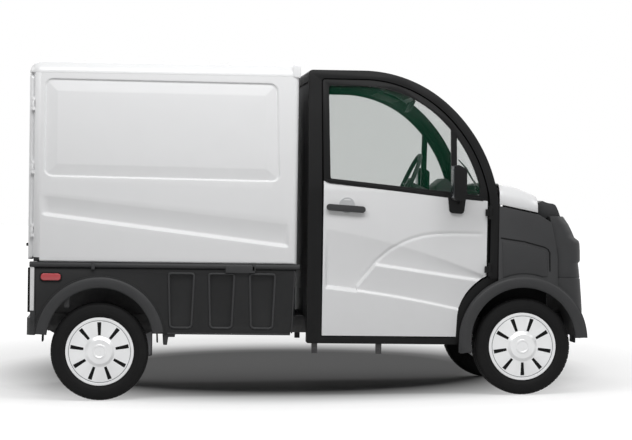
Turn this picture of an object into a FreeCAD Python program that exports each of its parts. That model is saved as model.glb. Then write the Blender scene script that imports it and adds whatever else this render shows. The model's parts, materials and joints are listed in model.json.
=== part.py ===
import FreeCAD, Part
import Sketcher
import math
import os
from FreeCAD import Placement, Rotation, Vector

# Electric mini van, millimetres: +X forward, +Y to the left-hand side, +Z up, origin on the ground.
# The body leans nose-down by the rake. Body pieces are drawn level and turned by their Placement.
# Driving dimensions: name, value or formula, what it is
SIZES = (
    ("origin_shift", -16.0, "from the drawing's origin to the middle of the van's length"),
    ("rake", 1.2, "nose-down lean of body and chassis, degrees"),
    ("rear_axle_x", -1111.0, "rear axle, from the origin"),
    ("front_axle_x", 1149.0, "front axle, from the origin"),
    ("tyre_radius", 260.0, "loaded outer radius, also the axle height"),
    ("tyre_width", 150.0, "tread width"),
    ("tread_radius", 24.0, "shoulder rounding of the tyre"),
    ("rim_radius", 181.0, "outer edge of the wheel cover"),
    ("hub_radius", 30.0, "hub spigot and the wheel's bore, less the fit"),
    ("fit_gap", 0.05, "running fit, radial"),
    ("seat_gap", 0.3, "between pieces that sit against each other"),
    ("shut_gap", 6.0, "between a moving panel and its opening"),
    ("slot_count", 9.0, "slots in a wheel cover"),
    ("slot_inner", 86.0, "slots' inner radius"),
    ("slot_outer", 156.0, "slots' outer radius"),
    ("slot_wide", 22.0, "slots' width outside"),
    ("slot_narrow", 14.0, "slots' width inside"),
    ("rail_y", 330.0, "middle of a chassis rail from the centre plane"),
    ("rail_wide", 60.0, "chassis rail width"),
    ("rail_tall", 90.0, "chassis rail height"),
    ("rail_z", 330.0, "chassis rail underside"),
    ("rail_rear_x", -1441.5, "rear end of the chassis rails"),
    ("rail_front_x", 1050.0, "front end of the chassis rails"),
    ("horn_y", 215.0, "middle of a front chassis horn from the centre plane"),
    ("horn_front_x", 1471.4, "front end of the horns, behind the bumper"),
    ("box_rear_x", -1484.0, "box outside, rear"),
    ("box_front_x", -62.0, "box outside, front"),
    ("box_low_z", 712.0, "box underside"),
    ("box_top_z", 1770.0, "box roof, between its ribs"),
    ("box_wall", 26.0, "box wall"),
    ("box_round", 62.0, "rounding of the box's outer corners"),
    ("box_floor_thick", 24.0, "load floor"),
    ("rib_tall", 16.0, "roof rib height"),
    ("emboss_rear_x", -1401.0, "side panel emboss, rear"),
    ("emboss_front_x", -168.0, "side panel emboss, front"),
    ("emboss_low_z", 1156.0, "side panel emboss, lower edge"),
    ("emboss_deep", 9.0, "step at the emboss's outline"),
    ("emboss_slope", 68.0, "width of the slope that rises to the inner panel"),
    ("arch_start_x", 290.0, "where the cab's roof line starts to fall"),
    ("arch_radius", 684.0, "cab roof arch, upper radius"),
    ("arch_turn", 41.8, "turn of the upper arch, degrees"),
    ("post_front_x", 1021.0, "front face of the windscreen post"),
    ("cab_top_z", 1752.0, "top of the cab frame"),
    ("cab_back_x", -4.0, "rear face of the door post"),
    ("post_wide", 76.0, "door post width"),
    ("band_wide", 45.0, "roof arch width"),
    ("sill_low_z", 292.0, "sill underside"),
    ("sill_tall", 36.0, "sill height"),
    ("belt_half_wide", 706.0, "cab outside at the waist"),
    ("top_half_wide", 614.0, "cab outside at the roof"),
    ("door_front_x", 957.0, "front edge of the door"),
    ("door_wall", 44.0, "thickness of the door"),
    ("frame_wall", 34.0, "thickness of the window frame"),
    ("frame_wide", 32.0, "width of the window frame"),
    ("door_well", 396.0, "arch cut of the door, radius about the flare's centre"),
    ("glass_thick", 5.0, "side glass and windscreen"),
    ("nose_x", 1464.0, "front face of the nose panel"),
    ("bumper_x", 1502.0, "foremost point of the bumper"),
    ("bumper_low_z", 330.0, "bumper's lower edge"),
    ("skirt_low_z", 334.0, "lower edge of the rear skirts"),
    ("flare_inner", 282.0, "arch flare, inner radius"),
    ("flare_outer", 346.0, "arch flare, outer radius"),
    ("flare_front_z", 320.0, "height of the front flares' centre in the body"),
    ("flare_rear_z", 294.0, "height of the rear flares' centre in the body"),
    ("steering_y", 330.0, "steering wheel, from the centre plane"),
    ("steering_x", 640.0, "steering wheel centre"),
    ("steering_z", 1150.0, "steering wheel centre"),
    ("steering_tilt", 24.0, "lean of the steering wheel's plane from upright, degrees"),
    ("steering_radius", 180.0, "steering wheel rim"),
    ("hinge_pin_radius", 5.0, "door hinge pin"),
    ("hinge_lug_radius", 9.0, "door hinge knuckle"),
    ("door_pin_x", 970.0, "cab door hinge axis, along the van"),
    ("door_pin_out", 10.0, "cab door hinge axis, outside the waist"),
    ("lid_pin_x", 1270.0, "bonnet hinge axis, along the van"),
    ("lid_pin_z", 1074.0, "bonnet hinge axis, height"),
    ("king_pin_radius", 11.0, "king pin"),
    ("sill_half_wide", "=belt_half_wide - 18", "cab outside at the sill"),
    ("box_half_wide", "=belt_half_wide + 6", "box outside, from the centre plane"),
    ("skirt_half_wide", "=belt_half_wide - 6", "outer face of the rear skirts"),
    ("flare_half_wide", "=belt_half_wide + 16", "outer lip of the arch flares"),
    ("wheel_y", "=belt_half_wide - 94", "middle of the tyre from the centre plane"),
    ("king_pin_y", "=wheel_y - 52", "steering axis of a front wheel, from the centre plane"),
    ("load_pin_y", "=box_half_wide - 12", "load door hinge axis, from the centre plane"),
    ("load_pin_x", "=box_rear_x + 18", "load door hinge axis, along the van"),
    ("emboss_top_z", "=box_top_z - 94", "side panel emboss, upper edge"),
    ("waist_rear_z", "=sill_low_z + (cab_top_z - sill_low_z) * 0.593151",
     "door skin's upper edge at the rear"),
    ("waist_front_z", "=sill_low_z + (cab_top_z - sill_low_z) * 0.527397",
     "door skin's upper edge at the front"),
    ("belt_z", "=sill_low_z + (cab_top_z - sill_low_z) * 0.560274", "height of the cab's widest line"),
    ("post_low_z", "=sill_low_z + (cab_top_z - sill_low_z) * 0.242466", "lower end of the windscreen post"),
    ("front_round", 30.0, "rounding of the box's front corners"),
)

doc = FreeCAD.newDocument("mini_van")
sheet = doc.addObject("Spreadsheet::Sheet", "Sizes")
for row, (name, value, meaning) in enumerate(SIZES, 1):
    sheet.set(f"A{row}", name)
    sheet.set(f"B{row}", str(value))
    sheet.setAlias(f"B{row}", name)
    sheet.set(f"C{row}", meaning)
doc.recompute()


class Measure:
    """A number together with the spreadsheet expression that it comes from."""

    def __init__(self, value, text):
        self.value = value
        self.text = text

    @staticmethod
    def wrap(other):
        return other if isinstance(other, Measure) else Measure(float(other), f"({float(other)!r})")

    def join(self, other, sign, value):
        return Measure(value, f"({self.text} {sign} {other.text})")

    def __add__(self, other):
        other = Measure.wrap(other)
        return self.join(other, "+", self.value + other.value)

    def __sub__(self, other):
        other = Measure.wrap(other)
        return self.join(other, "-", self.value - other.value)

    def __mul__(self, other):
        other = Measure.wrap(other)
        return self.join(other, "*", self.value * other.value)

    def __truediv__(self, other):
        other = Measure.wrap(other)
        return self.join(other, "/", self.value / other.value)

    def __radd__(self, other):
        return Measure.wrap(other) + self

    def __rsub__(self, other):
        return Measure.wrap(other) - self

    def __rmul__(self, other):
        return Measure.wrap(other) * self

    def __neg__(self):
        return Measure(-self.value, f"(-{self.text})")


def size(name):
    return Measure(float(sheet.get(name)), f"Sizes.{name}")


def sine(angle):
    return Measure(math.sin(math.radians(angle.value)), f"sin({angle.text} * 1 deg)")


def square_root(amount):
    return Measure(math.sqrt(amount.value), f"sqrt({amount.text})")


def cosine(angle):
    return Measure(math.cos(math.radians(angle.value)), f"cos({angle.text} * 1 deg)")


# Drawing planes: turn of the sketch, direction of the extrusion, coordinate that is the offset
PLANES = {
    "side": (Rotation(Vector(1, 0, 0), 90), Vector(0, 1, 0), "y"),
    "front": (Rotation(Vector(1, 1, 1), 120), Vector(1, 0, 0), "x"),
    "plan": (Rotation(), Vector(0, 0, 1), "z"),
}
ROLES = {"side": "XZ_Plane", "front": "YZ_Plane", "plan": "XY_Plane"}
VIA = "via"
nodes = []


def point(u, v):
    return Vector(u.value, v.value, 0)


def draw(sketch, outline):
    """Adds one closed outline: corners (u, v, radius), with (u, v, VIA) a point on an arc."""
    items = [(Measure.wrap(u), Measure.wrap(v), r) for u, v, r in outline]
    corners = [k for k, item in enumerate(items) if item[2] != VIA]
    spans = []
    for here, there in zip(corners, corners[1:] + corners[:1]):
        between = (here + 1) % len(items)
        spans.append((items[here], items[there], items[between] if between != there else None))
    trims = []
    for k, (corner, following, via) in enumerate(spans):
        before = spans[k - 1][0]
        radius = Measure.wrap(corner[2])
        if radius.value <= 0:
            trims.append(None)
            continue
        middle = point(*corner[:2])
        back = (point(*before[:2]) - middle).normalize()
        ahead = (point(*following[:2]) - middle).normalize()
        half = back.getAngle(ahead) / 2
        reach = radius.value / math.tan(half)
        centre = middle + (back + ahead).normalize() * (radius.value / math.sin(half))
        trims.append((middle + back * reach, middle + ahead * reach, centre, radius))
    rules = []
    edge_of = []
    turned_back = set()
    for k, (corner, following, via) in enumerate(spans):
        start = trims[k][1] if trims[k] else point(*corner[:2])
        after = trims[(k + 1) % len(spans)]
        end = after[0] if after else point(*following[:2])
        shape = Part.LineSegment(start, end)
        if via:
            bulge = point(*via[:2])
            backward = (bulge - start).cross(end - bulge).z < 0
            if backward:
                start, end = end, start
                turned_back.add(k)
            curve = Part.Arc(start, bulge, end).toShape().Curve
            circle = Part.Circle(curve.Center, Vector(0, 0, 1), curve.Radius)
            shape = Part.ArcOfCircle(circle, circle.parameter(start), circle.parameter(end))
        edge_of.append(sketch.addGeometry(shape, False))
    ends = [(1, 2) if k in turned_back else (2, 1) for k in range(len(spans))]
    for k, (corner, following, via) in enumerate(spans):
        if not via:
            continue
        mark = sketch.addGeometry(Part.Point(point(*via[:2])), True)
        fix(sketch, rules, mark, 1, via)
        rules.append(Sketcher.Constraint("PointOnObject", mark, 1, edge_of[k]))
    for k, (corner, following, via) in enumerate(spans):
        last = edge_of[k - 1]
        last_end = ends[k - 1][0]
        this = edge_of[k]
        this_start = ends[k][1]
        if not trims[k]:
            rules.append(Sketcher.Constraint("Coincident", last, last_end, this, this_start))
            fix(sketch, rules, this, this_start, corner)
            continue
        into, out, centre, radius = trims[k]
        circle = Part.Circle(centre, Vector(0, 0, 1), radius.value)
        first = circle.parameter(into)
        second = circle.parameter(out)
        turn = (second - first) % (2 * math.pi)
        forward = turn < math.pi
        arc = Part.ArcOfCircle(circle, first, second) if forward else Part.ArcOfCircle(circle, second, first)
        bend = sketch.addGeometry(arc, False)
        begin, finish = (1, 2) if forward else (2, 1)
        mark = sketch.addGeometry(Part.Point(point(*corner[:2])), True)
        fix(sketch, rules, mark, 1, corner)
        rules.append(Sketcher.Constraint("PointOnObject", mark, 1, last))
        rules.append(Sketcher.Constraint("PointOnObject", mark, 1, this))
        rules.append(Sketcher.Constraint("Tangent", last, last_end, bend, begin))
        rules.append(Sketcher.Constraint("Tangent", bend, finish, this, this_start))
        rules.append((Sketcher.Constraint("Radius", bend, radius.value), radius))
    first_rule = len(sketch.Constraints)
    sketch.addConstraint([rule[0] if isinstance(rule, tuple) else rule for rule in rules])
    for k, rule in enumerate(rules, first_rule):
        if isinstance(rule, tuple) and "Sizes." in rule[1].text:
            sketch.setExpression(f"Constraints[{k}]", rule[1].text)


def fix(sketch, rules, geometry, place, item):
    for kind, amount in (("DistanceX", item[0]), ("DistanceY", item[1])):
        rules.append((Sketcher.Constraint(kind, -1, 1, geometry, place, amount.value), amount))


def bind(obj, key, amount):
    amount = Measure.wrap(amount)
    if "Sizes." in amount.text:
        obj.setExpression(key, amount.text)
        return
    *path, last = key.split(".")
    if not path:
        setattr(obj, last, amount.value)
        return
    place = getattr(obj, path[0])
    base = place.Base
    setattr(base, last, amount.value)
    place.Base = base
    setattr(obj, path[0], place)


def profile(name, plane, outlines, offset=0.0):
    """A free sketch on one of the drawing planes."""
    sketch = doc.addObject("Sketcher::SketchObject", name + "_outline")
    turn, direction, letter = PLANES[plane]
    sketch.Placement = Placement(Vector(), turn)
    for outline in outlines:
        draw(sketch, outline)
    bind(sketch, f"Placement.Base.{letter}", offset)
    return sketch


def prism(name, plane, outline, low, high, holes=()):
    """An outline drawn at low and extruded to high, with any holes left out."""
    sketch = profile(name, plane, [outline, *holes], low)
    solid = doc.addObject("Part::Extrusion", name)
    solid.Base = sketch
    solid.DirMode = "Custom"
    solid.Dir = PLANES[plane][1]
    solid.Solid = True
    bind(solid, "LengthFwd", Measure.wrap(high) - low)
    return solid


def cut(name, base, *tools):
    result = doc.addObject("Part::Cut", name)
    result.Base = base
    result.Tool = tools[0] if len(tools) == 1 else fuse(name + "_tools", *tools)
    return result


def fuse(name, *pieces):
    result = doc.addObject("Part::MultiFuse", name)
    result.Shapes = list(pieces)
    result.Refine = True
    return result


def common(name, *pieces):
    result = doc.addObject("Part::MultiCommon", name)
    result.Shapes = list(pieces)
    return result


def group(name, *pieces):
    result = doc.addObject("Part::Compound", name)
    result.Links = list(pieces)
    return result


def mirror(name, source):
    result = doc.addObject("Part::Mirroring", name)
    result.Source = source
    result.Normal = Vector(0, 1, 0)
    return result


def rod(name, start, end, radius):
    """A round bar between two points, each a triple of sizes."""
    start = [Measure.wrap(a) for a in start]
    end = [Measure.wrap(a) for a in end]
    bar = doc.addObject("Part::Cylinder", name)
    run = Vector(*[b.value - a.value for a, b in zip(start, end)])
    bar.Placement = Placement(Vector(*[a.value for a in start]), Rotation(Vector(0, 0, 1), run))
    for letter, amount in zip("xyz", start):
        bind(bar, f"Placement.Base.{letter}", amount)
    bind(bar, "Radius", radius)
    steps = [b - a for a, b in zip(start, end)]
    squares = " + ".join(f"({s.text})^2" for s in steps)
    bind(bar, "Height", Measure(run.Length, f"sqrt({squares})"))
    return bar


def box(name, low, high):
    """A plain block between two corners, each a triple of sizes."""
    block = doc.addObject("Part::Box", name)
    for letter, key, a, b in zip("xyz", ("Length", "Width", "Height"), low, high):
        bind(block, f"Placement.Base.{letter}", a)
        bind(block, key, Measure.wrap(b) - a)
    return block


def node(label, piece, on_body=True):
    """Takes a finished piece: its label names its file, and body pieces get the rake."""
    if piece.TypeId in ("Part::Box", "Part::Cylinder"):
        piece = group(piece.Name + "_whole", piece)
    piece.Label = label
    if on_body:
        piece.Placement = Placement(Vector(), Rotation(Vector(0, 1, 0), size("rake").value))
        piece.setExpression("Placement.Base.x", "Sizes.origin_shift")
        piece.setExpression("Placement.Rotation.Angle", "Sizes.rake")
    nodes.append(piece)
    return piece


def pair(stem, piece):
    """A right-hand body piece and its mirror image on the left."""
    node(stem + "_right", piece)
    twin = mirror(stem + "_twin", piece)
    twin.Label = stem + "_left"
    nodes.append(twin)


def to_body(x, z):
    """A point of the ground frame in the level drawing of the body."""
    along = x - size("origin_shift")
    lean = size("rake")
    return along * cosine(lean) - z * sine(lean), along * sine(lean) + z * cosine(lean)


REAR_X, REAR_Z = to_body(size("rear_axle_x"), size("tyre_radius"))
FRONT_X, FRONT_Z = to_body(size("front_axle_x"), size("tyre_radius"))
GAP = size("seat_gap")
SHUT = size("shut_gap")


def cab_half(z):
    """Half width of the cab's outside at a height below the waist."""
    low_z, wide_z = size("sill_low_z") - 60, size("belt_z")
    return size("sill_half_wide") + (size("belt_half_wide") - size("sill_half_wide")) * (z - low_z) / (wide_z - low_z)


def cab_section(name, inset, wall, side=-1):
    """The cab's side as a leaning wall, seen from the front, along the whole cab."""
    rows = ((size("sill_low_z") - 60, size("sill_half_wide")), (size("belt_z"), size("belt_half_wide")),
            (size("cab_top_z") + 20, size("top_half_wide")))
    outer = [(side * (half - inset), z, 260 if k == 1 else 0) for k, (z, half) in enumerate(rows)]
    inner = [(side * (half - inset - wall), z, 260 if k == 1 else 0) for k, (z, half) in enumerate(rows)]
    return prism(name, "front", outer + inner[::-1], size("cab_back_x") - 60, size("post_front_x") + 60)


def cab_inside(name, inset):
    """The room between the cab's sides, at an inset from their outer faces."""
    rows = ((size("sill_low_z") - 60, size("sill_half_wide")), (size("belt_z"), size("belt_half_wide")),
            (size("cab_top_z") + 20, size("top_half_wide")))
    right = [(inset - half, z, 260 if k == 1 else 0) for k, (z, half) in enumerate(rows)]
    left = [(half - inset, z, 260 if k == 1 else 0) for k, (z, half) in enumerate(rows)]
    return prism(name, "front", right + left[::-1], size("cab_back_x") - 60, size("post_front_x") + 60)


ARCH_Z = size("cab_top_z") - size("arch_radius")
TURN = size("arch_turn")
LOWER_RADIUS = (size("post_front_x") - size("arch_start_x") - size("arch_radius") * sine(TURN)) / (1 - sine(TURN))
LOWER_X = size("post_front_x") - LOWER_RADIUS
LOWER_Z = ARCH_Z + (size("arch_radius") - LOWER_RADIUS) * cosine(TURN)


def upper_arc(share, inset):
    """A point on the roof's upper arch, share of its turn from the roof line."""
    turn = TURN * share
    radius = size("arch_radius") - inset
    return size("arch_start_x") + radius * sine(turn), ARCH_Z + radius * cosine(turn)


def lower_arc(share, inset):
    """A point on the windscreen's lower arch, share of its turn down to the upright post."""
    turn = TURN + (90 - TURN) * share
    radius = LOWER_RADIUS - inset
    return LOWER_X + radius * sine(turn), LOWER_Z + radius * cosine(turn)


def arch_edge(inset, share=1):
    """The roof and windscreen line, from the roof's flat part down a share of the lower arc."""
    return [(size("arch_start_x"), size("cab_top_z") - inset, 0), (*upper_arc(0.5, inset), VIA),
            (*upper_arc(1, inset), 0), (*lower_arc(share / 2, inset), VIA), (*lower_arc(share, inset), 0)]


OUT = -size("belt_half_wide") - 60
IN = -size("top_half_wide") + 120


def cab_skin(name, outline, inset, wall, holes=()):
    """A side piece of the cab: its outline from the side, with the cab's lean and a given wall."""
    block = prism(name + "_block", "side", outline, OUT, IN, holes)
    return common(name, block, cab_section(name + "_section", inset, wall))


def ring(name, x, z, inner, outer, low, high, floor):
    """A half ring about a wheel, from low to high across, cut off below floor."""
    outline = [(x - outer, floor, 0), (x - outer, z, 0), (x, z + outer, VIA), (x + outer, z, 0),
               (x + outer, floor, 0), (x + inner, floor, 0), (x + inner, z, 0), (x, z + inner, VIA),
               (x - inner, z, 0), (x - inner, floor, 0)]
    return prism(name, "side", outline, low, high)


# Chassis: two rails and the cross members that carry battery, floor and suspension
CROSS_X = (("rear", -1390.0), ("load", -700.0), ("battery_rear", -560.0), ("battery_front", -120.0),
           ("cab", 330.0))
rail_in = size("rail_y") - size("rail_wide") / 2
rail_out = size("rail_y") + size("rail_wide") / 2
frame_parts = []
for side, (near, far) in {"right": (-rail_out, -rail_in), "left": (rail_in, rail_out)}.items():
    frame_parts.append(box("rail_" + side, (size("rail_rear_x"), near, size("rail_z")),
                           (size("rail_front_x"), far, size("rail_z") + size("rail_tall"))))
for where, x in CROSS_X:
    frame_parts.append(box("cross_" + where, (x, -rail_in - 1, size("rail_z")),
                           (x + 50, rail_in + 1, size("rail_z") + 36)))
for k, (x, reach) in enumerate(((size("rail_rear_x"), size("skirt_half_wide") - 26 - GAP),
                                (-620.0, size("skirt_half_wide") - 26 - GAP),
                               (20.0, cab_half(size("rail_z") + 30) - 64 - GAP),
                                (520.0, cab_half(size("rail_z") + 30) - 64 - GAP))):
    reach = Measure.wrap(reach)
    for side in (-1, 1):
        near, far = sorted((side * (rail_out - 2), side * reach), key=lambda a: a.value)
        frame_parts.append(box(f"outrigger_{k}_{side + 1}", (x, near, size("rail_z") + 30),
                               (x + 30, far, size("rail_z") + 70)))
for side, middle in (("right", -size("horn_y")), ("left", size("horn_y"))):
    frame_parts.append(box("horn_" + side, (1049, middle - 30, size("rail_z") + 50),
                           (size("horn_front_x"), middle + 30, size("rail_z") + 120)))
frame_parts.append(box("yoke", (1000, -rail_in - 1, size("rail_z")),
                       (1050, rail_in + 1, size("rail_z") + 120)))
node("chassis_frame", fuse("chassis", *frame_parts))

battery_low = size("rail_z") + 36 + GAP
node("battery_pack", box("battery", (-600, -rail_in + 6, battery_low), (-40, rail_in - 6, battery_low + 210)))

# Rear axle with its motor and the springs that hang it from the rails
hub = size("hub_radius") - size("fit_gap")
axle = [rod("axle_tube", (REAR_X, -500, REAR_Z), (REAR_X, 500, REAR_Z), 34)]
for side in (-1, 1):
    tag = "right" if side < 0 else "left"
    hub_out = size("wheel_y") + 38
    axle.append(rod("axle_stub_" + tag, (REAR_X, side * 490, REAR_Z), (REAR_X, side * hub_out, REAR_Z), hub))
    axle.append(rod("drum_" + tag, (REAR_X, side * 545, REAR_Z), (REAR_X, side * 585, REAR_Z), 110))
    spring_low = REAR_Z + 20
    leaf = [(REAR_X - 280, size("rail_z") - GAP, 0), (REAR_X, spring_low, VIA),
            (REAR_X + 280, size("rail_z") - GAP, 0),
            (REAR_X + 240, size("rail_z") - GAP, 0), (REAR_X, spring_low + 22, VIA),
            (REAR_X - 240, size("rail_z") - GAP, 0)]
    near, far = sorted((side * (size("rail_y") - 25), side * (size("rail_y") + 25)), key=lambda a: a.value)
    axle.append(prism("leaf_" + tag, "side", leaf, near, far))
node("rear_axle", fuse("rear_axle_whole", *axle))
motor_x = REAR_X + 34 + GAP
node("drive_motor", box("motor", (motor_x, -130, REAR_Z - 60),
                        (motor_x + 250, 130, size("rail_z") - GAP + 36)))

# Front suspension: arms with eyes about the king pins, all in the ground frame
PIN_Y = size("king_pin_y")
pin_bore = size("king_pin_radius") + size("fit_gap")
ARM_Z = (("lower", size("tyre_radius") - 110, -1), ("upper", size("tyre_radius") + 80, 1))
front_parts = []
bores = []
AXLE_X = size("front_axle_x")
horn_out = size("horn_y") + 30
for side in (-1, 1):
    tag = "right" if side < 0 else "left"
    for level, z, _ in ARM_Z:
        eye = (AXLE_X, side * PIN_Y, z)
        front_parts.append(rod(f"eye_{level}_{tag}", eye, (AXLE_X, side * PIN_Y, z + 30), 24))
        bores.append(rod(f"eye_bore_{level}_{tag}", (AXLE_X, side * PIN_Y, z - 5),
                         (AXLE_X, side * PIN_Y, z + 35), pin_bore))
        for end, reach in (("ahead", 90), ("behind", -90)):
            front_parts.append(rod(f"arm_{level}_{end}_{tag}",
                                   (AXLE_X + reach, side * (horn_out + 15), z + 15),
                                   (AXLE_X, side * (PIN_Y - 12), z + 15), 12))
front_parts.append(box("subframe", (AXLE_X - 120, -horn_out - 30, size("tyre_radius") - 115),
                       (AXLE_X + 120, horn_out + 30, size("tyre_radius") - 75)))
for side, tag in ((-1, "right"), (1, "left")):
    near, far = sorted((side * (horn_out + GAP), side * (horn_out + 30)), key=lambda a: a.value)
    front_parts.append(box("subframe_post_" + tag, (AXLE_X - 105, near, size("tyre_radius") - 100),
                           (AXLE_X + 105, far, size("tyre_radius") + 120)))
node("front_suspension", cut("suspension", fuse("suspension_solid", *front_parts), *bores), on_body=False)

# Knuckles: king pin, upright and stub axle; both steer about their upright pins
for side, tag in ((-1, "right"), (1, "left")):
    low = size("tyre_radius") - 118
    middle = size("tyre_radius")
    pin = rod("king_pin_" + tag, (AXLE_X, side * PIN_Y, low), (AXLE_X, side * PIN_Y, middle + 118),
              size("king_pin_radius"))
    near, far = sorted((side * (PIN_Y - 22), side * (PIN_Y + 22)), key=lambda a: a.value)
    upright = box("upright_" + tag, (AXLE_X - 34, near, middle - 79), (AXLE_X + 34, far, middle + 79))
    stub = rod("stub_" + tag, (AXLE_X, side * PIN_Y, middle), (AXLE_X, side * (size("wheel_y") + 38), middle),
               hub)
    node("knuckle_" + tag, fuse("knuckle_whole_" + tag, pin, upright, stub), on_body=False)


def body_sketch(body, name, plane, outline):
    """A sketch attached to one of its body's own origin planes."""
    sketch = body.newObject("Sketcher::SketchObject", name)
    support = [f for f in body.Origin.OriginFeatures if f.Role == ROLES[plane]][0]
    sketch.AttachmentSupport = [(support, "")]
    sketch.MapMode = "FlatFace"
    draw(sketch, outline)
    return sketch


def wheel_body(label, side, x, outline, slots=False):
    """A turned piece of a wheel: outline (across, radius) is turned about the axle."""
    body = doc.addObject("PartDesign::Body", label + "_body")
    section = body_sketch(body, label + "_section", "front", outline)
    turned = body.newObject("PartDesign::Revolution", label + "_turned")
    turned.Profile = section
    turned.ReferenceAxis = (section, ["H_Axis"])
    turned.Angle = 360
    if slots:
        doc.recompute()
        inner, outer = size("slot_inner"), size("slot_outer")
        narrow, wide = size("slot_narrow") / 2, size("slot_wide") / 2
        opening = body_sketch(body, label + "_slot", "side",
                              [(-narrow, inner, 0), (narrow, inner, 0), (wide, outer, 0), (-wide, outer, 0)])
        bind(opening, "AttachmentOffset.Base.z", size("tyre_width") / 2 + 20)
        pocket = body.newObject("PartDesign::Pocket", label + "_slot_cut")
        pocket.Profile = opening
        pocket.Length = 50
        pattern = body.newObject("PartDesign::PolarPattern", label + "_slots")
        pattern.Originals = [pocket]
        pattern.Axis = (opening, ["N_Axis"])
        pattern.Angle = 360
        pattern.setExpression("Occurrences", "Sizes.slot_count")
        body.Tip = pattern
    body.Placement = Placement(Vector(x.value, side * size("wheel_y").value, size("tyre_radius").value),
                               Rotation(Vector(0, 0, 1), 0 if side < 0 else 180))
    for letter, amount in zip("xyz", (x, side * size("wheel_y"), size("tyre_radius"))):
        bind(body, f"Placement.Base.{letter}", amount)
    node(label, body, on_body=False)


# Wheels and tyres, drawn about their middle with the outer side towards -Y
half_tyre = size("tyre_width") / 2
bead = size("rim_radius") - 16
tyre_outline = [(-half_tyre + 15, bead + GAP, 0), (-half_tyre + 15, size("rim_radius") + 2, 0),
                (-half_tyre, size("tyre_radius") - 40, 0), (-half_tyre + 10, size("tyre_radius") - 12, 0),
                (-half_tyre + 26, size("tyre_radius"), 0),
                (half_tyre - 26, size("tyre_radius"), 0), (half_tyre - 10, size("tyre_radius") - 12, 0),
                (half_tyre, size("tyre_radius") - 50, 0), (half_tyre - 17, bead + GAP, 0)]
face = -half_tyre + 15 - GAP * 2
cover_x = face - 6
wheel_outline = [(-46, size("hub_radius"), 0), (-34, size("hub_radius"), 0), (-34, bead - 16, 0),
                 (half_tyre - 12, bead - 14, 0), (half_tyre - 12, bead, 0), (face + GAP, bead, 0),
                 (face + GAP, size("rim_radius"), 0), (face - 3, size("rim_radius"), 0),
                 (cover_x, size("rim_radius") - 16, 0),
                 (cover_x, 80, 0), (cover_x - 12, 64, 0), (cover_x - 12, 0, 0),
                 (cover_x - 4, 0, 0), (cover_x - 4, 60, 0), (cover_x + 6, 80, 0), (cover_x + 6, bead - 16, 0),
                 (-46, bead - 16, 0)]
for end, x in (("rear", size("rear_axle_x")), ("front", size("front_axle_x"))):
    for side, tag in ((-1, "right"), (1, "left")):
        wheel_body(f"tyre_{end}_{tag}", side, x, tyre_outline)
        wheel_body(f"wheel_{end}_{tag}", side, x, wheel_outline, slots=True)

# Hinges: a pin with end lugs on the fixed piece, and a bored knuckle on the moving one
HINGE_PIN = size("hinge_pin_radius")
LUG = size("hinge_lug_radius")


def fixed_hinge(name, x, y, low_z, high_z, plate_low, plate_high):
    """The pin and its two lugs, with a plate from low to high corner (x, y) that reaches what carries them."""
    end = (high_z - low_z) * 0.24
    parts = [rod(name + "_pin", (x, y, low_z), (x, y, high_z), HINGE_PIN)]
    for k, base in enumerate((low_z, high_z - end)):
        parts.append(rod(f"{name}_lug_{k}", (x, y, base), (x, y, base + end), LUG))
        parts.append(box(f"{name}_web_{k}", (*plate_low, base), (*plate_high, base + end)))
    return parts


def moving_hinge(name, piece, x, y, low_z, high_z, plate_low, plate_high):
    """A piece with a bored knuckle between the lugs."""
    end = (high_z - low_z) * 0.24 + 1
    knuckle = rod(name + "_knuckle", (x, y, low_z + end), (x, y, high_z - end), LUG)
    web = box(name + "_arm", (*plate_low, low_z + end), (*plate_high, high_z - end))
    bore = rod(name + "_bore", (x, y, low_z), (x, y, high_z), HINGE_PIN + size("fit_gap"))
    return cut(name + "_bored", fuse(name + "_fused", piece, knuckle, web), bore)


# Cab frame: door posts, roof arches, sills and the header that ties them
back = size("cab_back_x")
post = size("post_wide")
band = size("band_wide")
top = size("cab_top_z")
low = size("sill_low_z")
sill_top = low + size("sill_tall")
flare_z = size("flare_front_z")
frame_outline = [(back, low, 10), (back, top, 24), *arch_edge(0),
                 (size("post_front_x"), size("post_low_z"), 0),
                 (size("post_front_x") - band, size("post_low_z"), 0), *arch_edge(band)[::-1],
                 (back + post - 8, top - band, 20),
                 (back + post, sill_top, 10), (FRONT_X - size("flare_outer") - 8, sill_top, 0),
                 (FRONT_X - size("flare_outer") - 8, low, 0)]
side_frame = cab_skin("side_frame", frame_outline, 0, 64)
header_in = cab_inside("header_room", 30)
header = common("header", prism("header_block", "side",
                                [(back, top - 60, 0), (back, top, 20), (back + post, top, 0),
                                 (back + post, top - 34, 0),
                (back + 30, top - 60, 0)], OUT, -OUT), header_in)
cowl_half = size("belt_half_wide") - 46
cowl = box("cowl", (size("post_front_x") - 60, -cowl_half, size("waist_front_z") - 40),
           (size("post_front_x") - 20, cowl_half, size("waist_front_z") - 2))
scuttle = prism("scuttle", "side", [(990, size("waist_front_z") - 62, 0),
                                    (990, size("waist_front_z") + 45, 0),
                                    (1020, size("waist_front_z") + 45, 6),
                                    (1020, size("waist_front_z") - 62, 0)], -cowl_half, cowl_half)
DOOR_PIN_X = size("door_pin_x")
DOOR_PIN_Y = -size("belt_half_wide") - size("door_pin_out")
DOOR_HINGES = (("upper", size("waist_front_z") - 98, size("waist_front_z") - 25),
               ("lower", size("post_low_z") + 14, size("post_low_z") + 86))
door_lugs = []
for level, low_end, high_end in DOOR_HINGES:
    door_lugs += fixed_hinge("door_hinge_" + level, DOOR_PIN_X, DOOR_PIN_Y, low_end, high_end,
                             (DOOR_PIN_X, DOOR_PIN_Y - 4), (DOOR_PIN_X + 15, DOOR_PIN_Y + 24))
right_frame = fuse("side_frame_hinged", side_frame, *door_lugs)
node("cab_frame", fuse("cab_frame_whole", right_frame, mirror("side_frame_twin", right_frame), header, cowl,
                       scuttle))

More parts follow.
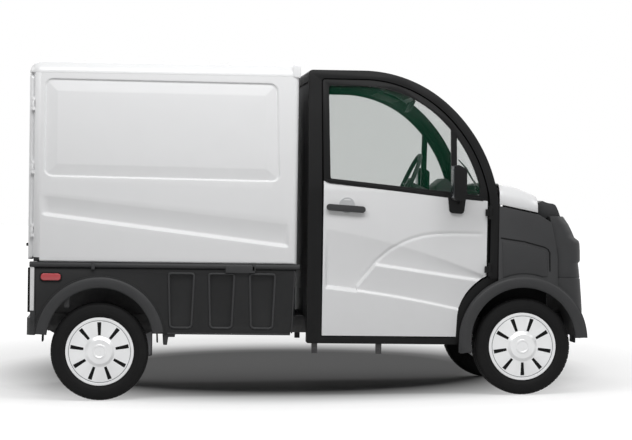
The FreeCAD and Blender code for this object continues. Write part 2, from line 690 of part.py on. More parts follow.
# Cab roof and windscreen, bent over the arches
inside = 64 + GAP
roof_band = [(back + post + GAP, top - 4, 0), *arch_edge(4)[:1], (*upper_arc(0.4, 4), VIA),
             (*upper_arc(0.8, 4), 0),
             (*upper_arc(0.8, 18), 0), (*upper_arc(0.4, 18), VIA), (size("arch_start_x"), top - 18, 0),
             (back + post + GAP, top - 18, 0)]
node("cab_roof", common("roof", prism("roof_block", "side", roof_band, OUT, -OUT),
                        cab_inside("roof_room", inside)))
glass = size("glass_thick")
screen_band = [(*upper_arc(0.815, 6), 0), (*upper_arc(0.91, 6), VIA), (*upper_arc(1, 6), 0),
               (*lower_arc(0.39, 6), VIA), (*lower_arc(0.78, 6), 0),
               (*lower_arc(0.78, 6 + glass), 0), (*lower_arc(0.39, 6 + glass), VIA),
               (*upper_arc(1, 6 + glass), 0), (*upper_arc(0.91, 6 + glass), VIA),
               (*upper_arc(0.815, 6 + glass), 0)]
node("windscreen", common("screen", prism("screen_block", "side", screen_band, OUT, -OUT),
                          cab_inside("screen_room", inside)))

# Cab floor with foot well, seat box and rear wall
floor_z = size("rail_z") + size("rail_tall") + GAP
bulkhead_x = size("post_front_x") - 60
tub = [(back + 6, floor_z, 0), (750, floor_z, 20), (850, floor_z + 170, 20), (bulkhead_x, 660, 0),
       (bulkhead_x, size("waist_front_z") - 42, 0),
       (bulkhead_x - 16, size("waist_front_z") - 42, 0), (bulkhead_x - 16, 678, 0), (840, floor_z + 190, 20),
       (742, floor_z + 20, 10),
       (446, floor_z + 20, 0), (446, floor_z + 140, 20), (back + 6, floor_z + 140, 0)]
node("cab_tub", prism("tub", "side", tub, -560, 560))
node("cab_rear_wall", common("rear_wall",
                             box("rear_wall_block", (back + 6, -700, floor_z + 140 + GAP),
                                 (back + 22, 700, top - 64)),
                             cab_inside("rear_wall_room", 64 + GAP)))

# Seats: cushion and back for two, plain and soft
seat_parts = []
for side, tag in ((-1, "right"), (1, "left")):
    middle = side * size("steering_y")
    cushion = [(70, floor_z + 141, 0), (450, floor_z + 141, 30), (470, 640, 40), (430, 662, 30),
               (120, 640, 20)]
    rest = [(back + 28, 650, 20), (110, 664, 30), (94, 900, 0), (75, 1180, 25), (back + 22 + GAP, 1180, 25)]
    seat_parts.append(prism("cushion_" + tag, "side", cushion, middle - 230, middle + 230))
    seat_parts.append(prism("backrest_" + tag, "side", rest, middle - 220, middle + 220))
node("seats", group("seats_both", *seat_parts))

# Dashboard, column and steering wheel
dash = [(700, 960, 20), (720, 1040, 20), (800, 1072, 20), (bulkhead_x - 16 - GAP, 1072, 10),
        (bulkhead_x - 16 - GAP, 860, 0), (760, 860, 0)]
binnacle = prism("binnacle", "side", [(800, 1064, 0), (788, 1146, 24), (846, 1192, 20), (930, 1100, 20),
                                      (930, 1064, 0)], size("steering_y") - 150, size("steering_y") + 150)
dash_top = common("dash_top", prism("dash_block", "side", dash, OUT, -OUT), cab_inside("dash_room", 76))
dash_whole = fuse("dash_whole", dash_top, binnacle)
node("dashboard", dash_whole)
WHEEL_TILT = size("steering_tilt")
hub_x, hub_z = size("steering_x"), size("steering_z")
SPIN_X, SPIN_Z = cosine(WHEEL_TILT), -sine(WHEEL_TILT)


def along_column(reach):
    """A point on the steering axis, ahead of the wheel's centre."""
    return hub_x + SPIN_X * reach, size("steering_y"), hub_z + SPIN_Z * reach


column = rod("column", along_column(34), along_column(190), 24)
column_trim = fuse("column_trim", prism("column_trim_dash", "side", dash, 100, 600),
                   prism("column_trim_top", "side",
                         [(800, 1064, 0), (788, 1146, 24), (846, 1192, 20), (930, 1100, 20), (930, 1064, 0)],
                   size("steering_y") - 150, size("steering_y") + 150))
node("steering_column", cut("column_clear", column, column_trim))
rim_section = []
for angle in range(0, 360, 45):
    around, across = 13 * math.sin(math.radians(angle)), 13 * math.cos(math.radians(angle))
    rim_section.append((hub_x + sine(WHEEL_TILT) * (size("steering_radius") + around) + cosine(WHEEL_TILT) * across,
                        hub_z + cosine(WHEEL_TILT) * (size("steering_radius") + around) - sine(WHEEL_TILT) * across, 0))
rim = doc.addObject("Part::Revolution", "steering_rim")
rim.Source = profile("steering_rim", "side", [rim_section], size("steering_y"))
rim.Angle = 360
rim.Solid = True
for key, amount in (("Base.x", hub_x), ("Base.y", size("steering_y")), ("Base.z", hub_z), ("Axis.x", SPIN_X),
                    ("Axis.z", SPIN_Z)):
    rim.setExpression(key, amount.text)
rim.setExpression("Axis.y", "0")
wheel_parts = [rim, rod("steering_boss", along_column(-6), along_column(33), 42)]
for angle in (90, 210, 330):
    reach = size("steering_radius")
    turn_y, turn_up = math.cos(math.radians(angle + 90)), math.sin(math.radians(angle + 90))
    end = (hub_x + sine(WHEEL_TILT) * reach * turn_up, size("steering_y") + reach * turn_y,
           hub_z + cosine(WHEEL_TILT) * reach * turn_up)
    wheel_parts.append(rod(f"spoke_{angle}", along_column(10), end, 11))
node("steering_wheel", fuse("steering_wheel_whole", *wheel_parts))

# Doors: skin, window frame with mirror and handle, and glass
door_rear = back + post + SHUT
door_low = sill_top + SHUT
front_edge = size("door_front_x")
WAIST_TOP = [(front_edge, size("waist_front_z"), 0), (door_rear + 30, size("waist_rear_z") - 10, 0),
             (door_rear, size("waist_rear_z"), 0)]
door_well = size("door_well")
skin_outline = [(door_rear, door_low, 12), (FRONT_X - door_well * 0.915, door_low, 0),
                (FRONT_X - door_well * 0.9, flare_z + door_well * 0.33, 0),
                (FRONT_X - door_well * 0.79, flare_z + door_well * 0.613, VIA),
                (front_edge, flare_z + door_well * 0.86, 0), *WAIST_TOP]
door_skin = cab_skin("door_skin", skin_outline, 2, size("door_wall"))
relief = [(268, 607, 0), (369, 740, 0), (505, 838, 30), (620, 880, 60), (front_edge + 10, 886, 0),
          (front_edge + 10, 640, 0), (384, 730, 30)]
relief_cut = cab_skin("door_relief", relief, -20, 26)
node_skin = cut("door_skin_whole", door_skin, relief_cut)
for level, low_end, high_end in DOOR_HINGES:
    node_skin = moving_hinge("door_skin_" + level, node_skin, DOOR_PIN_X, DOOR_PIN_Y, low_end, high_end,
                             (DOOR_PIN_X - 25, DOOR_PIN_Y - 5), (DOOR_PIN_X, DOOR_PIN_Y + 34))
pair("door_skin", node_skin)
edge = band + SHUT
glass_edge = edge + size("frame_wide")
frame_low = GAP
lift = [(u, v + frame_low, r) for u, v, r in WAIST_TOP]
window_outer = [lift[2], (door_rear - 8, top - edge, 12), *arch_edge(edge, 0.78), lift[0], lift[1]]
window_inner = [(door_rear + 36, size("waist_rear_z") + 14, 10), (door_rear + 26, top - glass_edge, 18),
                *arch_edge(glass_edge, 0.72),
                (front_edge - 44, size("waist_front_z") + 30, 10)]
window_frame = cab_skin("window_frame", window_outer, 8, size("frame_wall"), [window_inner])
divider = cab_skin("divider", [(763, 1060, 0), (793, 1060, 0), (793, 1520, 0), (763, 1520, 0)], 10,
                   size("frame_wall") - 4)
divider_in = common("divider_fit", divider, prism("divider_room", "side", window_inner, OUT, IN))
mirror_arm = rod("mirror_arm", (800, -size("belt_half_wide") - 6, 1050),
                 (800, -size("belt_half_wide") - 90, 1090), 9)
housing = prism("mirror_housing", "side",
                [(756, 1064, 20), (822, 1060, 20), (822, 1230, 20), (756, 1262, 20)],
                -size("belt_half_wide") - 160, -size("belt_half_wide") - 20)
foot = cab_skin("mirror_foot", [(741, 1092, 0), (839, 1087, 0), (828, 990, 20), (752, 996, 20)], -12,
                14 - GAP)
root = cab_skin("mirror_root", [(755, 1087, 0), (825, 1080, 0), (825, 1094, 0), (755, 1098, 0)], -12, 24)
node_frame = fuse("door_frame_whole", window_frame, divider_in, foot, root, mirror_arm, housing)
pair("door_frame", node_frame)
pane = cab_skin("pane", window_inner, 20, glass)
pane_cut = cut("pane_fit", pane, cab_skin("pane_divider",
                                          [(762, 1040, 0), (794, 1040, 0), (794, 1540, 0), (762, 1540, 0)], 8,
                                          size("frame_wall") + 4))
pair("door_glass", pane_cut)

# Nose: wings with arch flares, front panel, bumper, lamps and the bonnet lid
wing_rear = size("post_front_x") + GAP
SEAM = [(1301, 954, 0), (1310, 925, 0), (1331, 823, 0), (1340, 759, 0), (1342, 640, 0)]
wall_arch = size("flare_inner") + 24
wing_outline = [(wing_rear, 1036, 0), (1234, 994, 0), *SEAM,
                (1342, flare_z + square_root(wall_arch * wall_arch - (1342 - FRONT_X) * (1342 - FRONT_X)), 0),
                (FRONT_X, flare_z + wall_arch, VIA),
                (wing_rear, flare_z + square_root(wall_arch * wall_arch - (wing_rear - FRONT_X) * (wing_rear - FRONT_X)), 0)]
wing_wall = prism("wing_wall", "side", wing_outline, -size("belt_half_wide"), -size("belt_half_wide") + 30)
flare_out = size("flare_half_wide")
flare_front = ring("flare_front", FRONT_X, flare_z, size("flare_inner"), size("flare_outer"), -flare_out,
                   -flare_out + 25, 250)
liner = ring("wheel_liner", FRONT_X, flare_z, size("flare_inner") + 20, size("flare_inner") + 28,
             -flare_out + 24, -430, 300)
shoulder = prism("wing_shoulder", "side",
                 [(wing_rear + 14, 1025, 0), (1234, 985, 0), (1296, 947, 0), (1296, 932, 0), (1230, 970, 0),
                  (wing_rear + 14, 1010, 0)], -690, -560)
pair("wing", fuse("wing_whole", wing_wall, flare_front, liner, shoulder))
panel_side = [(1342.3, 658 + GAP, 0), (1454, 658 + GAP, 0), (1448, 735, 0), (1458, 743, 10), (1456, 850, 10),
              (1424, 876, 10), (1414, 900, 0),
              (1362, 985, 0), (1304, 985, 0), *[(u + GAP, v, r) for u, v, r in SEAM[:-1]]]
panel_wall = prism("panel_solid", "side", panel_side, -690, 690)
nose_room_plan = prism("nose_room_plan", "plan",
                       [(1200, -660, 0), (1340, -660, 60), (1420, -400, 80), (1432, 0, VIA), (1420, 400, 80),
                        (1340, 660, 60), (1200, 660, 0)], 600, 1100)
nose_room_side = prism("nose_room_side", "side",
                       [(1280, 640, 0), (1440, 640, 0), (1436, 735, 0), (1444, 748, 0), (1440, 846, 0),
                        (1410, 866, 0), (1400, 890, 0),
                                                  (1353, 969, 0), (1280, 969, 0)], -664, 664)
nose_room = common("nose_room", nose_room_plan, nose_room_side)
nose_plan = prism("nose_plan", "plan", [(1200, -706, 0), (1400, -700, 90), (1458, -420, 120), (1474, 0, VIA),
                                        (1458, 420, 120), (1400, 700, 90), (1200, 706, 0)], 250, 1100)
nose_cap = prism("nose_cap", "side", [(1266, 972, 0), (1266, 1050, 8), (1290, 1060, 20), (1333, 1049, 10),
                                      (1346, 1029, 0), (1361, 984, 0), (1358, 972, 0)], -330, 330)
GRILLE = (705.0, 745.0, 785.0, 825.0)
slots = [prism(f"grille_slot_{k}", "front", [(-300, z, 8), (300, z, 8), (292, z + 20, 8), (-292, z + 20, 8)],
               1400, 1500) for k, z in enumerate(GRILLE)]
panel_shell = cut("front_panel_shell", common("front_panel_solid", panel_wall, nose_plan), nose_room)
nose_shelf = box("nose_shelf", (1266, -555, 955), (1322, 555, 984))
LID_X, LID_Z = size("lid_pin_x"), size("lid_pin_z")
lid_lugs = []
for side, tag in ((-1, "right"), (1, "left")):
    lid_lugs.append(rod("lid_pin_" + tag, (LID_X, side * 250, LID_Z), (LID_X, side * 300, LID_Z), HINGE_PIN))
    lid_lugs.append(rod("lid_lug_" + tag, (LID_X, side * 250, LID_Z), (LID_X, side * 268, LID_Z), LUG))
    near, far = sorted((side * 250, side * 268))
    lid_lugs.append(box("lid_bracket_" + tag, (LID_X, near, 1040), (LID_X + LUG, far, LID_Z)))
node("front_panel", fuse("front_panel_whole", cut("front_panel_open", panel_shell, *slots), nose_cap,
                         nose_shelf, *lid_lugs))
bumper_x = size("bumper_x")
bumper_side = [(1342.3, 658, 0), (1458, 658, 0), (1473, 540, 20), (bumper_x - 4, 440, 20),
               (bumper_x, 400, 20), (1450, size("bumper_low_z"), 10),
               (1342.3, size("bumper_low_z"), 0)]


def bumper_plan(name, inset):
    """Plan outline of the bumper at an inset."""
    return prism(name, "plan", [(1200, inset - 694, 0), (1440 - inset, inset - 694, 90),
                                (1490 - inset, -420, 140), (bumper_x - inset, 0, VIA),
                                (1490 - inset, 420, 140), (1440 - inset, 694 - inset, 90),
                                (1200, 694 - inset, 0)], 250 - inset, 700 + inset)


bumper_solid = common("bumper_solid", prism("bumper_side", "side", bumper_side, -720, 720),
                      bumper_plan("bumper_plan", 0))
well_cut = rod("bumper_well", (FRONT_X, -720, flare_z), (FRONT_X, 720, flare_z),
               size("flare_inner") + 28 + GAP)
node("front_bumper", cut("front_bumper_whole", bumper_solid, bumper_plan("bumper_room", 26), well_cut))
lamp = prism("lamp", "side", [(1365, 992, 4), (1414, 905, 4), (1380, 888, 4), (1340, 970, 4)], -600, -420)
lamp_cut = cut("lamp_fit", lamp, prism("lamp_trim", "side", panel_side, -700, 700))
node("headlamps", group("headlamps_both", lamp_cut, mirror("lamp_twin", lamp_cut)))


def bonnet_section(name, x, half, top_z, low_z, radius):
    """One cross section of the bonnet."""
    return profile(name, "front", [[(-half, low_z, 0), (-half, top_z, radius), (half, top_z, radius),
                                    (half, low_z, 0)]], x)


def loft(name, sections):
    """A ruled solid through sections."""
    result = doc.addObject("Part::Loft", name)
    result.Sections = sections
    result.Solid = True
    result.Ruled = True
    return result


# Sections of the bonnet: place along, half width, top, rounding
BONNET = ((1028, 698, 1156, 84), (1091, 696, 1143, 84), (1177, 684, 1112, 80), (1258, 656, 1082, 70))
LID_WALL = 12
LID_LOW = 900
shell_out = loft("bonnet_out", [bonnet_section(f"bonnet_out_{k}", x, width, top_z, LID_LOW, radius) for k,
                                (x, width, top_z, radius) in enumerate(BONNET)])
shell_in = loft("bonnet_in", [bonnet_section(f"bonnet_in_{k}", x + (-20, 0, 0, -LID_WALL)[k],
                                             width - LID_WALL, top_z - LID_WALL + (6, 0, 0, 4)[k],
                                             LID_LOW - 20, radius - LID_WALL)
                              for k, (x, width, top_z, radius) in enumerate(BONNET)])
lid_trim = prism("bonnet_trim", "side", [(1000, 1047, 0), (1028, 1042, 0), (1234, 1000, 0), (1270, 988, 0),
                                         (1400, 880, 0), (1000, 880, 0)], -720, 720)
lid_parts = [cut("bonnet_shell", shell_out, lid_trim, shell_in,
                 *[box(f"lid_notch_{t}", (1240, s * 259 - 16, 1020), (1275, s * 259 + 16, 1110)) for s,
                   t in ((-1, "right"), (1, "left"))])]
lid_bores = []
for side, tag in ((-1, "right"), (1, "left")):
    near, far = sorted((side * 276, side * 290))
    lid_parts.append(rod("lid_eye_" + tag, (LID_X, side * 269, LID_Z), (LID_X, side * 290, LID_Z), LUG))
    lid_parts.append(box("lid_arm_" + tag, (1250, near, LID_Z - 6), (LID_X, far, LID_Z + 2)))
    lid_bores.append(rod("lid_bore_" + tag, (LID_X, side * 260, LID_Z), (LID_X, side * 310, LID_Z),
                         HINGE_PIN + size("fit_gap")))
node("bonnet", cut("bonnet_whole", fuse("bonnet_eyed", *lid_parts), *lid_bores))

# Load box: sides with their pressed panel, roof with ribs, end wall, floor, rear frame and doors
box_back, box_ahead = size("box_rear_x"), size("box_front_x")
half = size("box_half_wide")
wall = size("box_wall")
side_top = size("box_top_z") - size("box_round")
round_r = size("box_round")
hull = doc.addObject("PartDesign::Body", "box_hull")
hull_low, hull_high = size("box_low_z") - 10, size("box_top_z")
hull_block = hull.newObject("PartDesign::Pad", "box_hull_block")
hull_block.Profile = body_sketch(hull, "box_hull_outline", "plan",
                                 [(box_back, -half, 0), (box_ahead, -half, 0), (box_ahead, half, 0),
                                  (box_back, half, 0)])
bind(hull_block, "Length", hull_high)
doc.recompute()
rounded = []
for k, edge in enumerate(hull_block.Shape.Edges, 1):
    ends = [vertex.Point for vertex in edge.Vertexes]
    at_rear = all(abs(end.x - box_back.value) < 1 for end in ends)
    at_side = all(abs(abs(end.y) - half.value) < 1 for end in ends) and ends[0].y * ends[1].y > 0
    at_top = all(abs(end.z - hull_high.value) < 1 for end in ends)
    if at_rear + at_side + at_top == 2:
        rounded.append(f"Edge{k}")
hull_round = hull.newObject("PartDesign::Fillet", "box_hull_round")
hull_round.Base = (hull_block, rounded)
bind(hull_round, "Radius", round_r)
doc.recompute()
front_corners = []
for k, edge in enumerate(hull_round.Shape.Edges, 1):
    ends = [vertex.Point for vertex in edge.Vertexes]
    at_front = all(abs(end.x - box_ahead.value) < 1 and abs(abs(end.y) - half.value) < 1 for end in ends)
    if at_front and abs(ends[0].z - ends[-1].z) > 100:
        front_corners.append(f"Edge{k}")
hull_front = hull.newObject("PartDesign::Fillet", "box_hull_front")
hull_front.Base = (hull_round, front_corners)
bind(hull_front, "Radius", size("front_round"))
hull.Tip = hull_front
side_plate = prism("side_plate_flat", "side",
                   [(box_back + round_r, size("box_low_z"), 0), (box_ahead, size("box_low_z"), 0),
                    (box_ahead, side_top, 0), (box_back + round_r, side_top, 0)],
                   -half, -half + wall)
side_plate = common("side_plate", side_plate, hull)
rx, fx, lz, tz = size("emboss_rear_x"), size("emboss_front_x"), size("emboss_low_z"), size("emboss_top_z")
deep = size("emboss_deep")
sink = prism("emboss_sink", "side", [(rx, lz + 8, 40), (fx - 10, lz - 6, 40), (fx, tz - 8, 40), (rx, tz, 40)],
             -half - 1, -half + deep)
slope = size("emboss_slope")


def emboss_ring(name, inset, y):
    """Outline of the emboss at an inset, at a depth across."""
    return profile(name, "side", [[(rx + inset, lz + 8 + inset, 40), (fx - 10 - inset, lz - 6 + inset, 40),
                                   (fx - inset, tz - 8 - inset, 40), (rx + inset, tz - inset, 40)]], y)


island = loft("emboss_island", [emboss_ring("emboss_foot", 4, -half + deep),
                                emboss_ring("emboss_top", slope, -half)])
side_cut = cut("side_sunk", side_plate, cut("emboss_groove", sink, island))
swage = loft("swage", [profile(f"swage_{k}", "front",
                               [[(-half - 1, a, 0), (-half - 1, b, 0), (-half + depth, b + 6, 0),
                                 (-half, a, 0)]], x)
                       for k, (x, a, b, depth) in enumerate(((-1440, 1067, 966, 1), (-1340, 1056, 955, 8),
                                                             (-230, 938, 825, 8), (-110, 926, 806, 1)))])
pair("box_side", cut("box_side_whole", side_cut, swage))
roof_slab = box("roof_slab", (box_back - 5, -half - 5, side_top + GAP),
                (box_ahead + 5, half + 5, hull_high + 5))
roof_room = prism("roof_room_box", "front",
                  [(wall - half, side_top - 1, 0), (wall - half, size("box_top_z") - wall, round_r - wall),
                   (half - wall, size("box_top_z") - wall, round_r - wall),
                                             (half - wall, side_top - 1, 0)], box_back + round_r + 6,
                  box_ahead + 1)
roof_parts = [cut("box_roof_shell", common("box_roof_solid", hull, roof_slab), roof_room)]
RIBS = ((-1425, -1237), (-1206, -1014), (-944, -776), (-695, -530), (-442, -278), (-183, -74))
for k, (start, end) in enumerate(RIBS):
    low_z = size("box_top_z") - 2
    roof_parts.append(prism(f"roof_rib_{k}", "side",
                            [(start, low_z, 0), (start + 26, low_z + 2 + size("rib_tall"), 0),
                             (end - 26, low_z + 2 + size("rib_tall"), 0), (end, low_z, 0)], -half + 90,
                            half - 90))
node("box_roof", fuse("box_roof_whole", *roof_parts))
inner_half = half - wall - GAP
node("box_front_wall", common("front_wall_round", hull,
                              box("front_wall", (box_ahead - 20, -inner_half, size("box_low_z")),
                                  (box_ahead, inner_half, side_top))))
floor_plate = box("floor_plate", (box_back + round_r, -inner_half, size("box_low_z")),
                  (box_ahead - 20 - GAP, inner_half, size("box_low_z") + size("box_floor_thick")))
rear_beam = box("floor_rear_beam", (box_back + 30, -half + 30, size("box_low_z")),
                (box_back + round_r + 2, half - 30, size("box_low_z") + 22))
bearers = []
for k, y in enumerate((-350, 310)):
    bearers.append(box(f"floor_bearer_{k}", (-1380, y, size("rail_z") + size("rail_tall") + GAP),
                       (-120, y + 40, size("box_low_z") + 1)))
node("box_floor", fuse("box_floor_whole", floor_plate, rear_beam, *bearers))
LOAD_PIN_X, LOAD_PIN_Y = size("load_pin_x"), -size("load_pin_y")
load_middle = (size("box_low_z") + side_top) / 2
LOAD_HINGES = (("lower", size("box_low_z") + 130, size("box_low_z") + 200),
               ("middle", load_middle - 35, load_middle + 35), ("upper", side_top - 200, side_top - 130))
frame_outline = [(-half, size("box_low_z") + 22 + GAP, 0), (-half, side_top, 0), (half, side_top, 0),
                 (half, size("box_low_z") + 22 + GAP, 0)]
frame_hole = [(-half + 44, size("box_low_z") + 40, 8), (-half + 44, side_top - 26, 8),
              (half - 44, side_top - 26, 8), (half - 44, size("box_low_z") + 40, 8)]
frame_ring = prism("rear_frame_ring", "front", frame_outline, box_back + 30, box_back + round_r - GAP,
                   [frame_hole])
frame_round = common("rear_frame_round", frame_ring, hull)
load_lugs = []
for level, low_end, high_end in LOAD_HINGES:
    load_lugs += fixed_hinge("load_hinge_" + level, LOAD_PIN_X, LOAD_PIN_Y, low_end, high_end,
                             (LOAD_PIN_X, LOAD_PIN_Y - 4), (box_back + 40, LOAD_PIN_Y + 8))
node("box_rear_frame", fuse("rear_frame_whole", frame_round, *load_lugs,
                            mirror("load_lugs_twin", fuse("load_lugs_right", *load_lugs))))
door_back = box_back
leaf_half = half - 28
leaf_outline = [(-leaf_half, size("box_low_z") + 10, 20), (-3, size("box_low_z") + 10, 0),
                (-3, side_top - SHUT, 0), (-leaf_half, side_top - SHUT, 30)]
door_leaf = common("door_leaf", prism("door_leaf_flat", "front", leaf_outline, door_back,
                                      door_back + 30 - SHUT), hull)
leaf_panel = prism("leaf_panel", "front",
                   [(-leaf_half + 80, size("box_low_z") + 88, 40), (-80, size("box_low_z") + 88, 40),
                    (-80, side_top - 68, 40), (-leaf_half + 80, side_top - 68, 40)], door_back - 1,
                   door_back + 6)
load_door = cut("box_door_pressed", door_leaf, leaf_panel)
for level, low_end, high_end in LOAD_HINGES:
    load_door = moving_hinge("load_door_" + level, load_door, LOAD_PIN_X, LOAD_PIN_Y, low_end, high_end,
                             (LOAD_PIN_X - 8, LOAD_PIN_Y), (LOAD_PIN_X + 4, LOAD_PIN_Y + 30))
pair("box_door", load_door)

# Black plastics under the box: rub rails, skirts with pockets, rear bumper, lamps
rub = []
rub_z = size("box_low_z") - 15 - GAP
for side, tag in ((-1, "right"), (1, "left")):
    rub_y = side * (half - 12)
    rub.append(rod("rub_rail_" + tag, (box_back + 10, rub_y, rub_z), (box_ahead + 16, rub_y, rub_z), 15))
node("rub_rails", group("rub_rails_both", *rub))
skirt_y = size("skirt_half_wide")
arch_z = size("flare_rear_z")
wall_arch = size("flare_inner") + 24
skirt_outline = [(REAR_X + 350, size("skirt_low_z"), 0), (-90, size("skirt_low_z"), 20), (-72, 678, 0),
                 (-1440, 678, 0), (-1440, arch_z + 20, 0),
                 (REAR_X - wall_arch, arch_z + 20, 0), (REAR_X - wall_arch, arch_z, 0),
                 (REAR_X, arch_z + wall_arch, VIA), (REAR_X + wall_arch, arch_z, 0),
                 (REAR_X + 330, arch_z, 0)]
skirt_wall = prism("skirt_wall", "side", skirt_outline, -skirt_y, -skirt_y + 26)
pockets = []
for k, x in enumerate((-737.0, -524.0, -307.0)):
    pockets.append(prism(f"pocket_{k}", "side",
                         [(x, 650, 10), (x + 128, 650, 10), (x + 118, 375, 14), (x + 8, 375, 14)],
                         -skirt_y - 1, -skirt_y + 18))
flare_rear = ring("flare_rear", REAR_X, size("flare_rear_z"), size("flare_inner"), size("flare_outer"),
                  -size("flare_half_wide"), -size("flare_half_wide") + 25, 276)
rear_liner = ring("rear_liner", REAR_X, size("flare_rear_z"), size("flare_inner") + 20,
                  size("flare_inner") + 28, -flare_out + 24, -430, 280)
pair("skirt", fuse("skirt_whole", cut("skirt_pocketed", skirt_wall, *pockets), flare_rear, rear_liner))
rail_back = size("rail_rear_x") - GAP
bumper_bar = prism("bumper_rear", "plan",
                   [(-1486, -672, 40), (-1486, 672, 40), (rail_back, 694, 0), (rail_back, -694, 0)], 322, 412)
columns = []
rear_lamps = []
for side, tag in ((-1, "right"), (1, "left")):
    lamp_y = side * 655
    marker_y = side * (skirt_y + 6)
    columns.append(box("lamp_column_" + tag, (rail_back - 26.2, lamp_y - 45, 400),
                       (rail_back, lamp_y + 45, 680)))
    rear_lamps.append(box("tail_lamp_" + tag, (rail_back - 38.2, lamp_y - 38, 450),
                          (rail_back - 26.2 - GAP, lamp_y + 38, 672)))
    rear_lamps.append(box("marker_" + tag, (-1414, marker_y - 5.6, 613), (-1309, marker_y + 5.6, 650)))
node("rear_bumper", fuse("rear_bumper_whole", bumper_bar, *columns))
node("rear_lamps", group("rear_lamps_all", *rear_lamps))

doc.recompute()
failed = [piece.Name for piece in doc.Objects if "Invalid" in piece.State or "Error" in piece.State]
if failed:
    raise RuntimeError("did not compute: " + ", ".join(failed))
for piece in nodes:
    if piece.Shape.isNull() or not piece.Shape.isValid() or not piece.Shape.Solids:
        raise RuntimeError(f"{piece.Label} has no valid solid")
os.makedirs("parts", exist_ok=True)
for piece in nodes:
    piece.Shape.exportStep(f"parts/{piece.Label}.step")
    print(f"{piece.Label}: {len(piece.Shape.Solids)} solids, {piece.Shape.Volume / 1e6:.3f} litres")
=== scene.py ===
"""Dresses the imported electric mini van: finishes, soft edges, tyres, cabin, trim, lights and camera."""

from __future__ import annotations

import json
import logging
import math
from dataclasses import dataclass, field
from enum import Enum
from typing import Callable, Iterable, Sequence

import bmesh
import bpy
from mathutils import Matrix, Vector

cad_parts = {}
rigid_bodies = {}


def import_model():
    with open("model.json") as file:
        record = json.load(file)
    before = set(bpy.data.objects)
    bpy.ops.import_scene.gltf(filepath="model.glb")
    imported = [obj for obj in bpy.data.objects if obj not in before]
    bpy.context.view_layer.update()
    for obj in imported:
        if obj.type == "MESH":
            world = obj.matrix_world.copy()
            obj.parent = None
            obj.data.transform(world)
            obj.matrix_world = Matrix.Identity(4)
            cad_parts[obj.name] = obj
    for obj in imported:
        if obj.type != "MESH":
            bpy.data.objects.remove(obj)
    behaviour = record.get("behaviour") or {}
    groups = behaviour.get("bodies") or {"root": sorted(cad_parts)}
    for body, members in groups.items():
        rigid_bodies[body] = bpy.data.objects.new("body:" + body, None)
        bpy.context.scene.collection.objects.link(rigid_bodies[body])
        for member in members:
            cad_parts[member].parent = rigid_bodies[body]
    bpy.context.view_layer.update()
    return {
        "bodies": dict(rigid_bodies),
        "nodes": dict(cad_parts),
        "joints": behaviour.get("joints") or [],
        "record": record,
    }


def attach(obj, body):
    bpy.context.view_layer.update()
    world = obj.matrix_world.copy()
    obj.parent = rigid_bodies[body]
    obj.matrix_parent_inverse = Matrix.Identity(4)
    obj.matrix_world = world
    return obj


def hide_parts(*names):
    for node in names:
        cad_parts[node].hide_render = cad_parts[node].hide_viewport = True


LOG = logging.getLogger("mini_van")
SIDES = ((-1, "right"), (1, "left"))
LEAN = 1.2
SHIFT = -0.016
Point = Sequence[float]


class Space(Enum):
    """The drawing that a piece's millimetres are given in."""

    BODY = "level drawing of the body, which leans nose-down on its wheels"
    GROUND = "standing on the ground"

    @property
    def matrix(self) -> Matrix:
        """Turns millimetres of this drawing into metres of the frame.

        Returns:
            The matrix.
        """
        scale = Matrix.Scale(0.001, 4)
        if self is Space.GROUND:
            return scale
        return Matrix.Translation((SHIFT, 0.0, 0.0)) @ Matrix.Rotation(math.radians(LEAN), 4, "Y") @ scale


class Axis(Enum):
    """Direction in which an outline is extruded, with the order of its two coordinates."""

    ACROSS = (0, 2, 1)
    ALONG = (1, 2, 0)


class Grain(Enum):
    """Surface relief of a finish."""

    NONE = "plain"
    ORANGE_PEEL = "sprayed"
    MOULDED = "fine leather-like moulding"
    WOVEN = "cloth"
    CAST = "rough casting"
    RUBBER = "rubber"


class Cut(Enum):
    """What a cut leaves of an object: the part outside the tool or the part inside it."""

    OUTSIDE = "DIFFERENCE"
    INSIDE = "INTERSECT"


class Socket:
    """An output socket with arithmetic."""

    def __init__(self, graph: Graph, out: bpy.types.NodeSocket) -> None:
        """Wraps an output socket of a graph."""
        self.graph = graph
        self.out = out

    def _math(self, operation: str, *values: Socket | float) -> Socket:
        """Adds a Math node of that operation over values."""
        return self.graph.node("ShaderNodeMath", dict(enumerate(values)), operation=operation)

    def __add__(self, other: Socket | float) -> Socket:
        """Sum."""
        return self._math("ADD", self, other)

    def __radd__(self, other: float) -> Socket:
        """Sum with a number first."""
        return self._math("ADD", other, self)

    def __sub__(self, other: Socket | float) -> Socket:
        """Difference."""
        return self._math("SUBTRACT", self, other)

    def __rsub__(self, other: float) -> Socket:
        """Difference from a number."""
        return self._math("SUBTRACT", other, self)

    def __mul__(self, other: Socket | float) -> Socket:
        """Product."""
        return self._math("MULTIPLY", self, other)

    def __rmul__(self, other: float) -> Socket:
        """Product with a number first."""
        return self._math("MULTIPLY", other, self)

    def power(self, exponent: float) -> Socket:
        """This value raised to a power."""
        return self._math("POWER", self, exponent)

    def sine(self) -> Socket:
        """Sine of this value."""
        return self._math("SINE", self)

    def clamp(self, low: float, high: float) -> Socket:
        """Maps low..high of this value onto 0..1."""
        return self.graph.node("ShaderNodeMapRange", {"Value": self, "From Min": low, "From Max": high})


